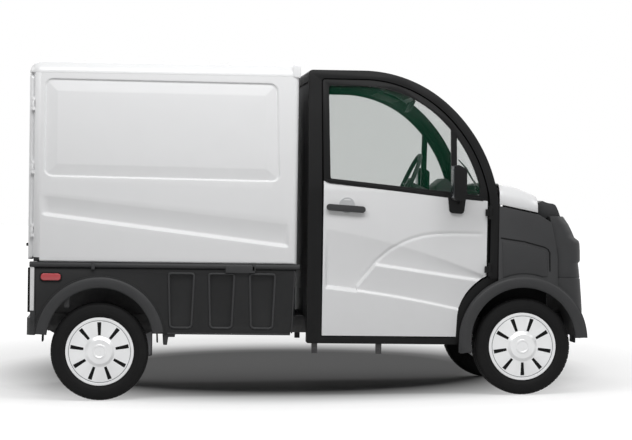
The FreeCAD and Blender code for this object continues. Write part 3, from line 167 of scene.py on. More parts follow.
class Graph:
    """A node tree to which nodes are added by type."""

    def __init__(self, tree: bpy.types.NodeTree) -> None:
        """Takes up a node tree."""
        self.tree = tree

    def feed(self, target: bpy.types.NodeSocket, value: object) -> None:
        """Links an input to a socket, or sets it to a value.

        Args:
            target: The input.
            value: A Socket to link, or a plain value.
        """
        if isinstance(value, Socket):
            self.tree.links.new(value.out, target)
        else:
            target.default_value = value

    def node(self, kind: str, sockets: dict[str | int, object] | None = None, output: str | int = 0,
             **settings: object) -> Socket:
        """Adds a node.

        Args:
            kind: Name of the node type.
            sockets: Values or links of its inputs, by name or number.
            output: Output that is wanted.
            **settings: Properties of the node, set before its inputs.

        Returns:
            The wanted output.
        """
        node = self.tree.nodes.new(kind)
        for name, value in settings.items():
            setattr(node, name, value)
        for name, value in (sockets or {}).items():
            self.feed(node.inputs[name], value)
        return Socket(self, node.outputs[output])

    def background_rays(self) -> Socket:
        """1 for the rays that see the background white, 0 for those that light the object."""
        rays = [self.node("ShaderNodeLightPath", output=f"Is {kind} Ray")
                for kind in ("Camera", "Transmission", "Glossy")]
        return rays[0] + rays[1] + rays[2]


class Shader(Graph):
    """One Principled material with its node tree."""

    def __init__(self, name: str) -> None:
        """Starts an empty material of that name."""
        self.material = bpy.data.materials.new(name)
        self.material.use_nodes = True
        super().__init__(self.material.node_tree)
        self.principled = self.tree.nodes["Principled BSDF"]

    def set(self, **values: object) -> None:
        """Sets or links sockets of the Principled shader, with _ for the spaces in their names."""
        for name, value in values.items():
            self.feed(self.principled.inputs[name.replace("_", " ")], value)

    def place(self) -> Socket:
        """Object coordinates, in metres."""
        return self.node("ShaderNodeTexCoord", output="Object")

    def along(self, axis: str) -> Socket:
        """One of the object coordinates."""
        return self.node("ShaderNodeSeparateXYZ", {"Vector": self.place()}, axis)

    def noise(self, scale: float, detail: float) -> Socket:
        """Noise from 0 to 1 over the object coordinates, by waves a metre and octaves."""
        return self.node("ShaderNodeTexNoise", {"Vector": self.place(), "Scale": scale, "Detail": detail})

    def blend(self, share: Socket, first: Socket | Point, second: Point) -> Socket:
        """A colour between two by a share."""
        start = first if isinstance(first, Socket) else (*first, 1)
        return self.node("ShaderNodeMix", {"Factor": share, "A": start, "B": (*second, 1)}, "Result",
                         data_type="RGBA")

    def bump(self, height: Socket, distance: float, strength: float) -> None:
        """Adds relief of a height from 0 to 1, by its depth in metres and how much of it shows."""
        self.set(Normal=self.node("ShaderNodeBump",
                                  {"Height": height, "Distance": distance, "Strength": strength}))


DUST = (0.33, 0.31, 0.28)
THREADS = 1900.0
NOISE_RELIEF = {
    Grain.ORANGE_PEEL: (340.0, 2.0, 0.00006, 1.0), Grain.CAST: (260.0, 6.0, 0.0008, 0.6),
    Grain.RUBBER: (420.0, 4.0, 0.0003, 0.6)}


def shade(colour: Point, amount: float) -> tuple[float, ...]:
    """A colour made lighter or darker by a factor."""
    return tuple(min(1.0, max(0.0, c * amount)) for c in colour)


@dataclass(frozen=True)
class Finish:
    """A paint, plastic, cloth or metal.

    Attributes:
        name: Material name.
        slot: Record slot that it stands for.
        colour: Base colour, linear.
        rough: Mean roughness.
        metal: Metallic share.
        coat: Clear coat.
        grain: Surface relief.
        mottle: Share by which the colour varies over a hand's width; 0 for a plain, clear surface.
        dust: Share of pale dust that gathers low on the body.
        alpha: Opacity.
        gloss: Level of reflection without metal or coat.
    """

    name: str
    slot: str
    colour: tuple[float, float, float]
    rough: float
    metal: float = 0.0
    coat: float = 0.0
    grain: Grain = Grain.NONE
    mottle: float = 0.04
    dust: float = 0.0
    alpha: float = 1.0
    gloss: float = 0.5

    def build(self) -> bpy.types.Material:
        """Makes the material's nodes.

        Returns:
            The material, made once and then found by its name.
        """
        known = bpy.data.materials.get(self.name)
        if known:
            return known
        shader = Shader(self.name)
        shader.set(Metallic=self.metal, Coat_Weight=self.coat, Alpha=self.alpha,
                   Specular_IOR_Level=self.gloss)
        if self.mottle:
            cloud = shader.noise(7.0, 3.0)
            tone = shader.blend(cloud.clamp(0.3, 0.7), shade(self.colour, 1 - self.mottle),
                                shade(self.colour, 1 + self.mottle))
            if self.dust:
                low = (1.0 - shader.along("Z").clamp(0.1, 0.75)) * shader.noise(22.0, 5.0).clamp(0.35, 0.75)
                tone = shader.blend(low * self.dust, tone, DUST)
            rough = cloud * 0.1 + shader.noise(160.0, 2.0) * 0.06 + (self.rough - 0.08)
            shader.set(Base_Color=tone, Roughness=rough)
        else:
            shader.set(Base_Color=(*self.colour, 1), Roughness=self.rough)
        self.relief(shader)
        if self.alpha < 1:
            shader.material.surface_render_method = "DITHERED"
        return shader.material

    def relief(self, shader: Shader) -> None:
        """Adds the finish's surface relief.

        Args:
            shader: Shader of the finish.
        """
        if self.grain in NOISE_RELIEF:
            scale, detail, distance, strength = NOISE_RELIEF[self.grain]
            shader.bump(shader.noise(scale, detail), distance, strength)
        elif self.grain is Grain.MOULDED:
            cells = shader.node("ShaderNodeTexVoronoi", {"Vector": shader.place(), "Scale": 520.0},
                                "Distance")
            shader.bump(cells * 0.6 + shader.noise(900.0, 2.0) * 0.4, 0.0004, 0.5)
        elif self.grain is Grain.WOVEN:
            warp, weft = ((shader.along(axis) * THREADS).sine() for axis in ("Y", "X"))
            shader.bump(warp * weft * 0.5 + 0.5, 0.0006, 0.7)


WHITE = Finish(
    "white_gelcoat", "white_paint", (0.8, 0.803, 0.81), 0.34, coat=0.3, grain=Grain.ORANGE_PEEL,
    mottle=0.006, dust=0.03)
# A darker copy of the white paint: painted shade, in the recessed handle dish and on the box's front wall.
WHITE_PAINTED_SHADE = Finish("white_paint_painted_shade", "white_paint", (0.6, 0.61, 0.62), 0.5, grain=Grain.MOULDED, mottle=0.03)
FRAME_BLACK = Finish(
    "satin_black_frame", "black_frame", (0.008, 0.0081, 0.0084), 0.46, grain=Grain.ORANGE_PEEL, mottle=0.1,
    dust=0.015, gloss=0.13)
PLASTIC = Finish(
    "grained_black_plastic", "black_plastic", (0.034, 0.0345, 0.036), 0.5, grain=Grain.MOULDED, mottle=0.08,
    dust=0.03, gloss=0.3)
STEEL = Finish(
    "chassis_black", "black_steel", (0.025, 0.025, 0.027), 0.45, metal=0.2, grain=Grain.CAST, mottle=0.2,
    dust=0.2)
CASTING = Finish(
    "grey_casting", "cast_grey", (0.2, 0.2, 0.21), 0.5, metal=0.7, grain=Grain.CAST, mottle=0.15, dust=0.1)
PACK_GREY = Finish("battery_grey", "grey_plastic", (0.13, 0.14, 0.15), 0.55, grain=Grain.MOULDED)
GLASS = Finish(
    "pale_green_glass", "green_glass", (0.003, 0.078, 0.036), 0.1, mottle=0.0, alpha=0.16, gloss=0.15)
FABRIC = Finish("seat_cloth", "seat_fabric", (0.05, 0.052, 0.058), 0.9, grain=Grain.WOVEN, mottle=0.12)
DASH = Finish("dash_plastic_grey", "dash_plastic", (0.05, 0.052, 0.055), 0.6, grain=Grain.MOULDED)
LENS = Finish("clear_lens", "lamp_clear", (0.85, 0.88, 0.9), 0.1, coat=0.5, mottle=0.0, alpha=0.35)
RED_LENS = Finish("red_lens", "lamp_red", (0.5, 0.02, 0.03), 0.16, coat=0.6, mottle=0.05)
AMBER_LENS = Finish("amber_lens", "lamp_red", (0.8, 0.24, 0.02), 0.16, coat=0.6, mottle=0.05)
MIRROR_GLASS = Finish("mirror_glass", "lamp_clear", (0.05, 0.055, 0.06), 0.2, metal=0.3, mottle=0.0)
LINING = Finish("headliner", "dash_plastic", (0.09, 0.088, 0.084), 0.85, grain=Grain.WOVEN, gloss=0.2)
MIRROR = Finish("silvered", "lamp_clear", (0.86, 0.87, 0.88), 0.12, metal=1.0, mottle=0.01)
BOARD = Finish("floor_ply", "floor_board", (0.26, 0.18, 0.11), 0.6, grain=Grain.CAST, mottle=0.15)
TYRE = Finish(
    "tyre_black", "tyre_rubber", (0.009, 0.009, 0.0093), 0.7, grain=Grain.RUBBER, mottle=0.1, dust=0.01,
    gloss=0.15)
SILVER = Finish(
    "cover_silver", "wheel_silver", (0.8, 0.805, 0.81), 0.32, metal=0.6, coat=0.3, mottle=0.04, dust=0.02)
ZINC = Finish("zinc_steel", "cast_grey", (0.5, 0.5, 0.5), 0.35, metal=0.9, mottle=0.08)
SKIRT_BLACK = Finish(
    "skirt_black_plastic", "black_plastic", (0.013, 0.0132, 0.0138), 0.5, grain=Grain.MOULDED, mottle=0.08,
    dust=0.02, gloss=0.22)
BY_SLOT = {finish.slot: finish for finish in (
    WHITE, FRAME_BLACK, PLASTIC, STEEL, CASTING, PACK_GREY, GLASS, FABRIC, DASH, LENS, RED_LENS, BOARD,
    TYRE, SILVER)}


def ramp(value: float, low: float, high: float) -> float:
    """Smooth step from 0 at low to 1 at high."""
    share = min(1.0, max(0.0, (value - low) / (high - low)))
    return share * share * (3 - 2 * share)


def fit(x: float, points: Sequence[Point]) -> float:
    """Height at x of the parabola or line through two or three points.

    Args:
        x: Place along.
        points: The points, as place and height.

    Returns:
        The height.
    """
    total = 0.0
    for k, (xk, zk) in enumerate(points):
        term = zk
        for j, (xj, _) in enumerate(points):
            if j != k:
                term *= (x - xj) / (xk - xj)
        total += term
    return total


def arc(first: Point, via: Point, last: Point, steps: int = 16) -> list[tuple[float, float]]:
    """Points of the circle's arc through three points.

    Args:
        first: Where it starts.
        via: A point on the way.
        last: Where it ends.
        steps: Number of its steps.

    Returns:
        Points from the first to the last.
    """
    (ax, ay), (bx, by), (cx, cy) = first, via, last
    scale = 2 * (ax * (by - cy) + bx * (cy - ay) + cx * (ay - by))
    a2, b2, c2 = ax * ax + ay * ay, bx * bx + by * by, cx * cx + cy * cy
    ux = (a2 * (by - cy) + b2 * (cy - ay) + c2 * (ay - by)) / scale
    uy = (a2 * (cx - bx) + b2 * (ax - cx) + c2 * (bx - ax)) / scale
    start, middle, end = (math.atan2(y - uy, x - ux) for x, y in (first, via, last))
    turn = (end - start) % math.tau
    if (middle - start) % math.tau > turn:
        turn -= math.tau
    radius = math.hypot(ax - ux, ay - uy)
    return [(ux + radius * math.cos(start + turn * k / steps),
             uy + radius * math.sin(start + turn * k / steps)) for k in range(steps + 1)]


def band(side: int, inner: float, outer: float) -> tuple[float, float]:
    """Range across the van between two distances from its middle, on one side."""
    near, far = sorted((side * inner, side * outer))
    return near, far


def put(name: str, data: bpy.types.ID) -> bpy.types.Object:
    """Puts a new object into the scene.

    Args:
        name: Its name.
        data: Its mesh, lamp or camera.

    Returns:
        The object.
    """
    obj = bpy.data.objects.new(name, data)
    bpy.context.scene.collection.objects.link(obj)
    return obj


def settle(obj: bpy.types.Object) -> None:
    """Turns an object's modifiers into plain mesh.

    Args:
        obj: The object.
    """
    bpy.context.view_layer.update()
    graph = bpy.context.evaluated_depsgraph_get()
    mesh = bpy.data.meshes.new_from_object(obj.evaluated_get(graph), depsgraph=graph)
    obj.modifiers.clear()
    obj.data = mesh


def carve(obj: bpy.types.Object, tool: bpy.types.Object, kept: Cut = Cut.OUTSIDE) -> None:
    """Cuts an object by another, which is then removed.

    Args:
        obj: The object that stays.
        tool: The one that cuts.
        kept: The part of it that stays.
    """
    cut = obj.modifiers.new("cut", "BOOLEAN")
    cut.operation = kept.value
    cut.solver = "EXACT"
    cut.object = tool
    settle(obj)
    bpy.data.objects.remove(tool)


class Shape:
    """Mesh under construction, in millimetres of one drawing."""

    def __init__(self, space: Space = Space.BODY) -> None:
        """Starts an empty shape."""
        self.space = space
        self.bm = bmesh.new()

    def prism(self, outline: Iterable[Point], low: float, high: float, axis: Axis = Axis.ACROSS) -> Shape:
        """Adds an outline extruded along an axis.

        Args:
            outline: Corners as the axis's two coordinates.
            low: Start of the extrusion.
            high: End of it.
            axis: Direction of it.

        Returns:
            The shape, so that calls can be chained.
        """
        first, second, third = axis.value
        rings = []
        for depth in (low, high):
            ring = []
            for u, v in outline:
                spot = [0.0, 0.0, 0.0]
                spot[first], spot[second], spot[third] = u, v, depth
                ring.append(self.bm.verts.new(spot))
            rings.append(ring)
        self._skin(rings, closed=True, capped=True)
        return self

    def _skin(self, rings: list[list[bmesh.types.BMVert]], closed: bool, capped: bool) -> None:
        """Joins rings of vertices with faces.

        Args:
            rings: The rings, each with as many vertices.
            closed: Whether a ring returns to its start.
            capped: Whether the first and last ring are filled.
        """
        for here, there in zip(rings, rings[1:]):
            count = len(here)
            for k in range(count if closed else count - 1):
                after = (k + 1) % count
                self.bm.faces.new((here[k], here[after], there[after], there[k]))
        if capped:
            self.bm.faces.new(rings[0][::-1])
            self.bm.faces.new(rings[-1])

    def block(self, low: Point, high: Point) -> Shape:
        """Adds a block between two corners."""
        return self.prism([(low[0], low[2]), (high[0], low[2]), (high[0], high[2]), (low[0], high[2])],
                          low[1], high[1])

    def brick(self, side: int, along: Point, out: Point, up: Point) -> Shape:
        """Adds a block on one side of the van, by its ranges along, outwards and up."""
        near, far = band(side, *out)
        return self.block((along[0], near, up[0]), (along[1], far, up[1]))

    def tube(self, path: Sequence[Point], radius: float | Sequence[float], sides: int = 12) -> Shape:
        """Adds a round bar along points.

        Args:
            path: Points of its middle line.
            radius: One radius, or one for each point.
            sides: Faces round it.

        Returns:
            The shape.
        """
        points = [Vector(p) for p in path]
        widths = radius if isinstance(radius, (list, tuple)) else [radius] * len(points)
        rings = []
        side = None
        for k, spot in enumerate(points):
            run = points[min(k + 1, len(points) - 1)] - points[max(k - 1, 0)]
            run.normalize()
            if side is None:
                side = run.orthogonal().normalized()
            side = (side - run * side.dot(run)).normalized()
            up = run.cross(side)
            ring = [self.bm.verts.new(spot + (side * math.cos(a) + up * math.sin(a)) * widths[k])
                    for a in (math.tau * s / sides for s in range(sides))]
            rings.append(ring)
        self._skin(rings, closed=True, capped=True)
        return self

    def lathe(self, profile: Sequence[Point], centre: Point, run: Point, steps: int = 48) -> Shape:
        """Adds a turned form.

        Args:
            profile: Closed ring of (along the axis, radius) pairs.
            centre: Zero of the axis.
            run: Direction of the axis.
            steps: Faces round it.

        Returns:
            The shape.
        """
        axis = Vector(run).normalized()
        side = axis.orthogonal().normalized()
        up = axis.cross(side)
        rings = []
        for s in range(steps):
            angle = math.tau * s / steps
            out = side * math.cos(angle) + up * math.sin(angle)
            rings.append([self.bm.verts.new(Vector(centre) + axis * a + out * r) for a, r in profile])
        self._skin([*rings, rings[0]], closed=True, capped=False)
        return self

    def grid(self, rows: Sequence[Sequence[Point]], loop: bool = False, capped: bool = False) -> Shape:
        """Adds a sheet or a loft through rows of points.

        Args:
            rows: The rows, each with as many points.
            loop: Whether a row returns to its start.
            capped: Whether the first and last row are filled.

        Returns:
            The shape.
        """
        rings = [[self.bm.verts.new(p) for p in row] for row in rows]
        self._skin(rings, closed=loop, capped=capped)
        return self

    def slab(self, front: Sequence[Sequence[Point]], back: Callable[[Point], Point]) -> Shape:
        """Adds a plate whose outer face is a grid.

        Args:
            front: Rows of points of its outer face.
            back: Moves a point of the border to the inner face.

        Returns:
            The shape.
        """
        rows = [[self.bm.verts.new(p) for p in row] for row in front]
        self._skin(rows, closed=False, capped=False)
        border = rows[0] + [row[-1] for row in rows[1:-1]]
        border += rows[-1][::-1] + [row[0] for row in rows[-2:0:-1]]
        twin = [self.bm.verts.new(back(v.co)) for v in border]
        for k, here in enumerate(border):
            after = (k + 1) % len(border)
            self.bm.faces.new((here, border[after], twin[after], twin[k]))
        self.bm.faces.new(twin)
        return self

    def mesh(self, name: str, bevel: float = 0.0, levels: int = 0, segments: int = 2) -> bpy.types.Object:
        """Makes the object.

        Args:
            name: Its name.
            bevel: Width of its rounded edges, in millimetres.
            levels: Subdivision levels.
            segments: Steps of the rounded edges.

        Returns:
            The object, in metres of the frame.
        """
        bmesh.ops.remove_doubles(self.bm, verts=self.bm.verts, dist=0.001)
        bmesh.ops.recalc_face_normals(self.bm, faces=self.bm.faces)
        self.bm.transform(self.space.matrix)
        data = bpy.data.meshes.new(name)
        self.bm.to_mesh(data)
        self.bm.free()
        obj = put(name, data)
        if levels:
            soft = obj.modifiers.new("soft", "SUBSURF")
            soft.levels = soft.render_levels = levels
        if bevel:
            round_off(obj, bevel, segments)
        settle(obj)
        smooth(obj)
        return obj


def round_off(obj: bpy.types.Object, width: float, segments: int = 2) -> None:
    """Adds a bevel to an object's sharp edges.

    Args:
        obj: The object.
        width: Width of the bevel in millimetres.
        segments: Its steps.
    """
    edge = obj.modifiers.new("edge", "BEVEL")
    edge.width = width / 1000
    edge.segments = segments
    edge.limit_method = "ANGLE"
    edge.angle_limit = math.radians(28)
    edge.use_clamp_overlap = True


def smooth(obj: bpy.types.Object, angle: float = 32.0) -> None:
    """Shades an object smooth, apart from edges sharper than an angle in degrees."""
    obj.data.shade_smooth()
    obj.data.set_sharp_from_angle(angle=math.radians(angle))


def dress(obj: bpy.types.Object, finish: Finish, body: str = "body",
          stands_for: Sequence[str] = ()) -> bpy.types.Object:
    """Gives a finished piece its material and body, and hides the nodes that it stands for.

    Args:
        obj: The piece, in place.
        finish: Its finish.
        body: Moving body that carries it.
        stands_for: CAD nodes that it replaces.

    Returns:
        The piece.
    """
    obj.data.materials.clear()
    obj.data.materials.append(finish.build())
    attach(obj, body)
    if stands_for:
        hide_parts(*stands_for)
    LOG.info("%s on %s: %d faces", obj.name, body, len(obj.data.polygons))
    return obj


class Swarm:
    """Repeats a small block on points with Geometry Nodes."""

    def __init__(self, name: str, finish: Finish) -> None:
        """Builds the tree.

        Args:
            name: Name of the tree.
            finish: What the blocks are made of.
        """
        self.finish = finish
        self.graph = Graph(bpy.data.node_groups.new(name, "GeometryNodeTree"))
        nodes, face = self.graph.tree.nodes, self.graph.tree.interface
        face.new_socket("Geometry", in_out="INPUT", socket_type="NodeSocketGeometry")
        face.new_socket("Geometry", in_out="OUTPUT", socket_type="NodeSocketGeometry")
        self.sockets = {}
        for title in ("Width", "Length", "Height"):
            made = face.new_socket(title, in_out="INPUT", socket_type="NodeSocketFloat")
            self.sockets[title] = made.identifier
        source = nodes.new("NodeGroupInput").outputs
        width, length, height = (Socket(self.graph, source[title]) for title in self.sockets)
        size = self.graph.node("ShaderNodeCombineXYZ", {"X": width, "Y": length, "Z": height})
        form = self.graph.node("GeometryNodeMeshCube", {"Size": size}, "Mesh")
        turn = self.graph.node("FunctionNodeAlignRotationToVector", {"Vector": self._stored("facing")},
                               axis="Z")
        spin = self.graph.node("FunctionNodeAlignRotationToVector",
                               {"Rotation": turn, "Vector": self._stored("heading")},
                               axis="X", pivot_axis="Z")
        points = Socket(self.graph, source["Geometry"])
        placed = self.graph.node("GeometryNodeInstanceOnPoints",
                                 {"Points": points, "Instance": form, "Rotation": spin})
        real = self.graph.node("GeometryNodeRealizeInstances", {0: placed})
        paint = self.graph.node("GeometryNodeSetMaterial", {"Geometry": real, "Material": finish.build()})
        self.graph.feed(nodes.new("NodeGroupOutput").inputs["Geometry"], paint)

    def _stored(self, name: str) -> Socket:
        """A vector stored on the points."""
        return self.graph.node("GeometryNodeInputNamedAttribute", {"Name": name}, "Attribute",
                               data_type="FLOAT_VECTOR")

    def scatter(self, name: str, spots: Sequence[tuple[Point, Point, Point]], space: Space = Space.BODY,
                body: str = "body",
                bevel: float = 0.0, **sizes: float) -> bpy.types.Object:
        """Places the blocks.

        Args:
            name: Name of the piece.
            spots: Place, facing and heading of each, in millimetres of the drawing.
            space: The drawing.
            body: Moving body that carries them.
            bevel: Rounded edges, in millimetres.
            **sizes: Width, Length and Height of a block, in millimetres.

        Returns:
            The piece.
        """
        matrix = space.matrix
        turn = matrix.to_3x3().normalized()
        data = bpy.data.meshes.new(name)
        data.from_pydata([matrix @ Vector(p) for p, _, _ in spots], [], [])
        for title, k in (("facing", 1), ("heading", 2)):
            layer = data.attributes.new(title, "FLOAT_VECTOR", "POINT")
            for item, spot in zip(layer.data, spots):
                item.vector = turn @ Vector(spot[k])
        obj = put(name, data)
        modifier = obj.modifiers.new("swarm", "NODES")
        modifier.node_group = self.graph.tree
        for title, value in sizes.items():
            modifier[self.sockets[title]] = value / 1000
        settle(obj)
        if bevel:
            round_off(obj, bevel, 1)
            settle(obj)
        smooth(obj)
        return dress(obj, self.finish, body)


@dataclass
class Panels:
    """Every rigid CAD piece, with softly rounded edges and its finish.

    Attributes:
        frame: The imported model.
        soft_edge: Width of the rounded edges, where it isn't 1.5 mm.
        left_out: Nodes that other classes make.
        own_finish: Finishes that differ from the slot's own.
        cover_turn: Turn of the front wheels, in degrees.
        cut_wide: Range of the cuts outwards.
        cuts: Lower and upper corner of each cut, along and up.
    """

    frame: dict
    soft_edge: dict[str, float] = field(default_factory=lambda: {
        "cab_frame": 4.0, "box_roof": 1.0, "door_frame_right": 4.0, "door_frame_left": 4.0,
        "dashboard": 6.0, "windscreen": 0.8, "door_glass_right": 0.8, "door_glass_left": 0.8,
        "rub_rails": 3.0, "wing_right": 3.0, "wing_left": 3.0, "skirt_right": 3.0, "skirt_left": 3.0,
        "drive_motor": 12.0, "battery_pack": 10.0})
    left_out: tuple[str, ...] = (
        "tyre_front_right", "tyre_front_left", "tyre_rear_right", "tyre_rear_left", "seats",
        "steering_wheel", "headlamps", "rear_lamps", "box_side_right", "box_side_left", "door_skin_right",
        "door_skin_left", "bonnet", "front_panel", "front_bumper")
    own_finish: dict[str, Finish] = field(default_factory=lambda: {
        # The box's front wall takes the darker white: painted shade.
        "box_front_wall": WHITE_PAINTED_SHADE, "skirt_right": SKIRT_BLACK, "skirt_left": SKIRT_BLACK})
    cover_turn: float = 20.0
    cut_wide: tuple[float, float] = (560.0, 800.0)
    cuts: dict[str, tuple] = field(default_factory=lambda: {
        "wing": (((1245, 200), (1560, 336)),),
        "skirt": (((-1520, 200), (-1250, 328)), ((-950, 200), (-600, 337)))})

    def body_of(self, node: str) -> str:
        """The moving body that a node belongs to."""
        groups = self.frame["record"]["behaviour"]["bodies"]
        return next(body for body, members in groups.items() if node in members)

    def build(self) -> None:
        """Replaces each node by a copy with rounded edges."""
        slots = {row["node"]: row["material_slot"] for row in self.frame["record"]["subparts"]}
        for node, original in self.frame["nodes"].items():
            if node in self.left_out:
                continue
            finish = self.own_finish.get(node, BY_SLOT[slots[node]])
            obj = put(node + "_made", original.data.copy())
            obj.data.name = node + "_made"
            self.clean(obj)
            if node.startswith("wheel_front"):
                self.turn_cover(obj)
            self.trim(obj, node)
            round_off(obj, self.soft_edge.get(node, 1.5))
            settle(obj)
            smooth(obj)
            dress(obj, finish, self.body_of(node), [node])
            if node == "box_floor":
                self.darken(obj)

    def trim(self, obj: bpy.types.Object, node: str) -> None:
        """Cuts the ends of the wings' and skirts' legs to the heights of the rolled flares.

        Args:
            obj: The copied node.
            node: Its name.
        """
        side = -1 if node.endswith("right") else 1
        for low, high in self.cuts.get(node.rsplit("_", 1)[0], ()):
            tool = Shape().brick(side, (low[0], high[0]), self.cut_wide, (low[1], high[1]))
            carve(obj, tool.mesh(f"cutter_{node}"))

    def turn_cover(self, obj: bpy.types.Object) -> None:
        """Turns a front wheel about its axle, so that one of its slots points down as in the photograph."""
        hub = Matrix.Translation((TyreSet().wheel_x["front"] / 1000, 0.0, TyreSet().radius / 1000))
        obj.data.transform(hub @ Matrix.Rotation(math.radians(self.cover_turn), 4, "Y") @ hub.inverted())

    @staticmethod
    def darken(obj: bpy.types.Object) -> None:
        """Gives every face of the load floor but its top the chassis finish.

        Args:
            obj: The load floor.
        """
        obj.data.materials.append(STEEL.build())
        for face in obj.data.polygons:
            if face.normal.z < 0.5:
                face.material_index = 1

    @staticmethod
    def clean(obj: bpy.types.Object) -> None:
        """Merges the loose triangles of a copied node into whole faces.

        Args:
            obj: The copied node.
        """
        bm = bmesh.new()
        bm.from_mesh(obj.data)
        bmesh.ops.remove_doubles(bm, verts=bm.verts, dist=0.00002)
        bmesh.ops.dissolve_limit(bm, angle_limit=math.radians(0.6), verts=bm.verts, edges=bm.edges)
        bm.to_mesh(obj.data)
        bm.free()


@dataclass
class BoxSide:
    """Pressed side panels of the load box: the framed panel, the crease and the bead below it.

    Attributes:
        half: Half width of the box.
        wall: Thickness of the side.
        ends: Its rear and front end.
        low: Its foot.
        high: Its top.
        step: Depth of the framed panel's edge.
        frame_rear: Rear edge of the framed panel.
        frame_run: Its length.
        frame_foot: Height of its lower edge at the rear, and the fall to the front.
        frame_top: The same for its upper edge.
        frame_corner: Rounding of its corners.
        crease_line: Place, height there and fall of the crease.
        bead_line: The same for the bead.
        bead_deep: Depth of the bead.
        bead_lip: Height over which the bead comes back.
        front_round: Rounding of the front end.
        foot_round: Rounding of the foot.
    """

    half: float = 712.0
    wall: float = 26.0
    ends: tuple[float, float] = (-1422.0, -62.0)
    low: float = 712.0
    high: float = 1708.0
    step: float = 9.0
    frame_rear: float = -1401.0
    frame_run: float = 1233.0
    frame_foot: Point = (1164.0, 14.0)
    frame_top: Point = (1676.0, 8.0)
    frame_corner: float = 42.0
    crease_line: Point = (-1434.0, 1066.0, 0.106)
    bead_line: Point = (-1452.0, 980.0, 0.1204)
    bead_deep: float = 17.0
    bead_lip: float = 22.0
    front_round: float = 30.0
    foot_round: float = 12.0

    def rails(self, x: float) -> list[float]:
        """Heights of the framed panel's lower and upper edges at a place along."""
        share = (x - self.frame_rear) / self.frame_run
        return [height - fall * share for height, fall in (self.frame_foot, self.frame_top)]

    def frame(self, x: float, z: float) -> tuple[float, float, float, float]:
        """Distances in from the framed panel's rear, front, lower and upper edges."""
        foot, top = self.rails(x)
        return x - self.frame_rear, -177 + 17 * (self.frame_top[0] - z) / 520 - x, z - foot, top - z

    def crease(self, x: float) -> float:
        """Height of the crease."""
        return self.crease_line[1] - self.crease_line[2] * (x - self.crease_line[0])

    def bead(self, x: float) -> float:
        """Height of the bead."""
        return self.bead_line[1] - self.bead_line[2] * (x - self.bead_line[0])

    def depth(self, x: float, z: float) -> float:
        """How far the outer face lies inside the flat one.

        Args:
            x: Place along.
            z: Height.

        Returns:
            The depth.
        """
        rear, front, below, above = self.frame(x, z)
        nearest = min(rear, front, below, above)
        u, v = self.frame_corner - min(rear, front), self.frame_corner - min(below, above)
        edge = self.frame_corner - math.hypot(u, v) if u > 0 and v > 0 else nearest
        sunk = self.step * ramp(edge, -4, 5) * (1 - min(1.0, max(0.0, (nearest - 7) / 58)))
        top, foot = self.crease(x), self.bead(x)
        fade = self.bead_deep * ramp(x, -1421, -1378) * ramp(-x, 102, 126)
        if foot < z < top:
            sunk += fade * (1 - (1 - (top - z) / (top - foot)) ** 1.5)
        elif foot - self.bead_lip < z <= foot:
            sunk += fade * (1 - ramp(foot - z, 0, self.bead_lip))
        for radius, inside in ((self.front_round, self.ends[1] - x), (self.foot_round, z - self.low)):
            if inside < radius:
                sunk = max(sunk, radius - math.sqrt(max(0.0, radius ** 2 - (radius - inside) ** 2)))
        return sunk

    def columns(self) -> list[float]:
        """Places along the side, closer where the form turns.

        Returns:
            The places, from the rear.
        """
        spots = [self.ends[0]]
        while spots[-1] < self.ends[1] - 0.5:
            here = spots[-1]
            spots.append(here + (4.5 if here < -1326 or here > -258 else 60))
        spots[-1] = self.ends[1]
        return spots

    def heights(self, x: float) -> list[float]:
        """Heights of the grid's rows at a place along the side.

        Args:
            x: The place.

        Returns:
            The heights, from the foot.
        """
        foot, roof = self.rails(x)
        bands = ((self.low, 4), (self.low + 12, 6), (self.bead(x) - 23, 7), (self.bead(x), 14),
                 (self.crease(x), 5), (foot - 5, 5),
                 (foot + 6, 15), (foot + 68, 7), (roof - 68, 15), (roof - 6, 5), (roof + 5, 3),
                 (self.high, 1))
        rows = []
        for (here, count), (there, _) in zip(bands, bands[1:]):
            rows += [here + (there - here) * k / count for k in range(count)]
        return rows + [self.high]

    def build(self) -> None:
        """Makes both sides."""
        columns = self.columns()
        ladder = [self.heights(x) for x in columns]
        for side, tag in SIDES:
            front = [[(x, side * (self.half - self.depth(x, z)), z) for x, z in zip(columns, row)]
                     for row in zip(*ladder)]
            shape = Shape().slab(front, lambda p, side=side: (p[0], side * (self.half - self.wall), p[2]))
            obj = shape.mesh(f"box_side_{tag}_pressed")
            smooth(obj, 40)
            dress(obj, WHITE, "body", [f"box_side_{tag}"])


